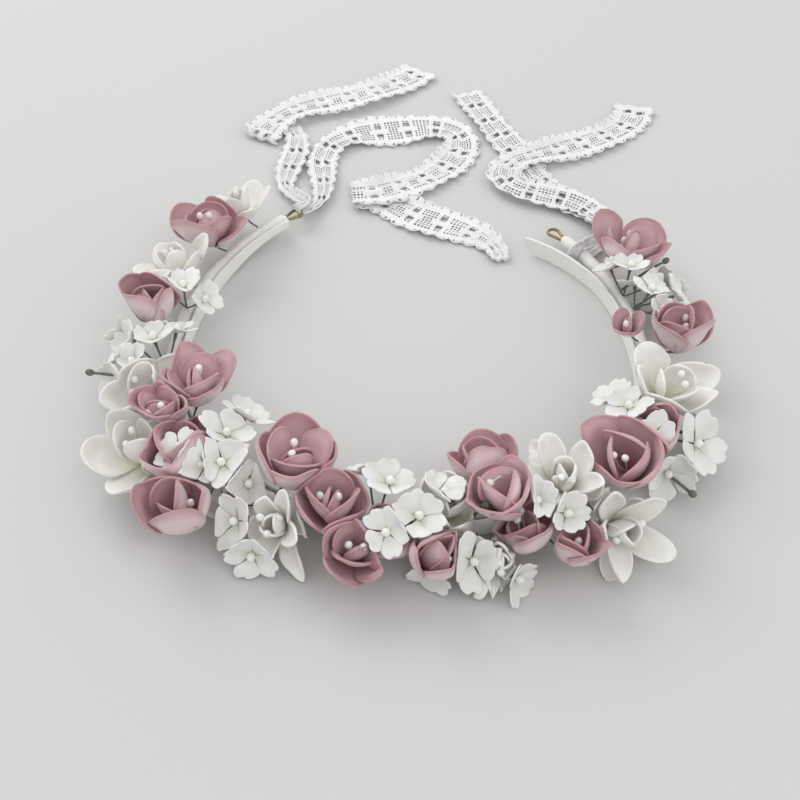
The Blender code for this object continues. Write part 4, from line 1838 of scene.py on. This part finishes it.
@dataclass
class Studio:
    """A pale floor, soft light from behind on the left, and the camera."""

    aim: tuple[float, float] = (-0.0025, -0.0151)
    azimuth: float = 1.8
    elevation: float = 45.5
    distance: float = 0.3996
    roll: float = 2.05
    lens: float = 52.4
    floor_size: float = 12.0
    floor_colour: tuple[float, float, float] = (0.61, 0.602, 0.590)
    world_light: float = 0.88
    world_colour: tuple[float, float, float] = (0.97, 0.985, 1.0)
    window: tuple[float, float, float] = (-0.75, 0.85, 1.05)
    window_size: float = 1.0
    window_power: float = 8.5
    fill: tuple[float, float, float] = (0.8, -0.7, 0.9)
    fill_size: float = 1.2
    fill_power: float = 2.5

    def camera(self) -> None:
        """Place the camera on its orbit round a point inside the band."""
        target = BAND.centre + Vector((*self.aim, 0.0))
        turn, rise = math.radians(self.azimuth), math.radians(self.elevation)
        back = Vector((math.sin(turn) * math.cos(rise), -math.cos(turn) * math.cos(rise), math.sin(rise)))
        right = (-back).cross(UP).normalized()
        up = back.cross(right)
        roll = math.radians(self.roll)
        rolled_right = right * math.cos(roll) + up * math.sin(roll)
        rolled_up = up * math.cos(roll) - right * math.sin(roll)
        data = bpy.data.cameras.new("camera")
        data.lens = self.lens
        data.sensor_width = 36.0
        data.clip_start = 0.01
        camera = bpy.data.objects.new("camera", data)
        bpy.context.scene.collection.objects.link(camera)
        axes = Matrix((rolled_right, rolled_up, back)).transposed().to_4x4()
        camera.matrix_world = Matrix.Translation(target + back * self.distance) @ axes
        bpy.context.scene.camera = camera

    def floor(self) -> None:
        """Lay the floor just below the crown."""
        shape = bmesh.new()
        bmesh.ops.create_grid(shape, x_segments=1, y_segments=1, size=self.floor_size)
        mesh = bpy.data.meshes.new("floor")
        shape.to_mesh(mesh)
        shape.free()
        material = bpy.data.materials.new("floor")
        material.use_nodes = True
        shader = material.node_tree.nodes["Principled BSDF"]
        shader.inputs["Base Color"].default_value = (*self.floor_colour, 1.0)
        shader.inputs["Roughness"].default_value = 0.95
        shader.inputs["Specular IOR Level"].default_value = 0.1
        mesh.materials.append(material)
        floor = bpy.data.objects.new("floor", mesh)
        bpy.context.scene.collection.objects.link(floor)

    def lamp(self, name: str, place: Vector, size: float, power: float) -> None:
        """Add a square soft light aimed at the crown.

        Args:
            name: its name.
            place: where it is.
            size: its side.
            power: its power in watts.
        """
        data = bpy.data.lights.new(name, "AREA")
        data.size = size
        data.energy = power
        lamp = bpy.data.objects.new(name, data)
        bpy.context.scene.collection.objects.link(lamp)
        lamp.matrix_world = Matrix.Translation(place) @ (
            (place - BAND.centre).to_track_quat("Z", "Y").to_matrix().to_4x4()
        )

    def build(self) -> None:
        """Set up the floor, the lights and the camera."""
        self.camera()
        self.floor()
        world = bpy.data.worlds.new("studio")
        world.use_nodes = True
        backdrop = world.node_tree.nodes["Background"]
        backdrop.inputs["Color"].default_value = (*self.world_colour, 1.0)
        backdrop.inputs["Strength"].default_value = self.world_light
        bpy.context.scene.world = world
        bpy.context.scene.view_settings.view_transform = "Standard"
        self.lamp("window", Vector(self.window), self.window_size, self.window_power)
        self.lamp("fill", Vector(self.fill), self.fill_size, self.fill_power)


def main() -> None:
    """Build the crown's looks."""
    logging.basicConfig(level=logging.INFO, format="%(name)s: %(message)s")
    Studio().build()
    for group in (WrappedBand(), Flowers(), Lace()):
        for piece in group.build():
            LOG.info("made %s", piece.name)


if __name__ == "__main__":
    main()
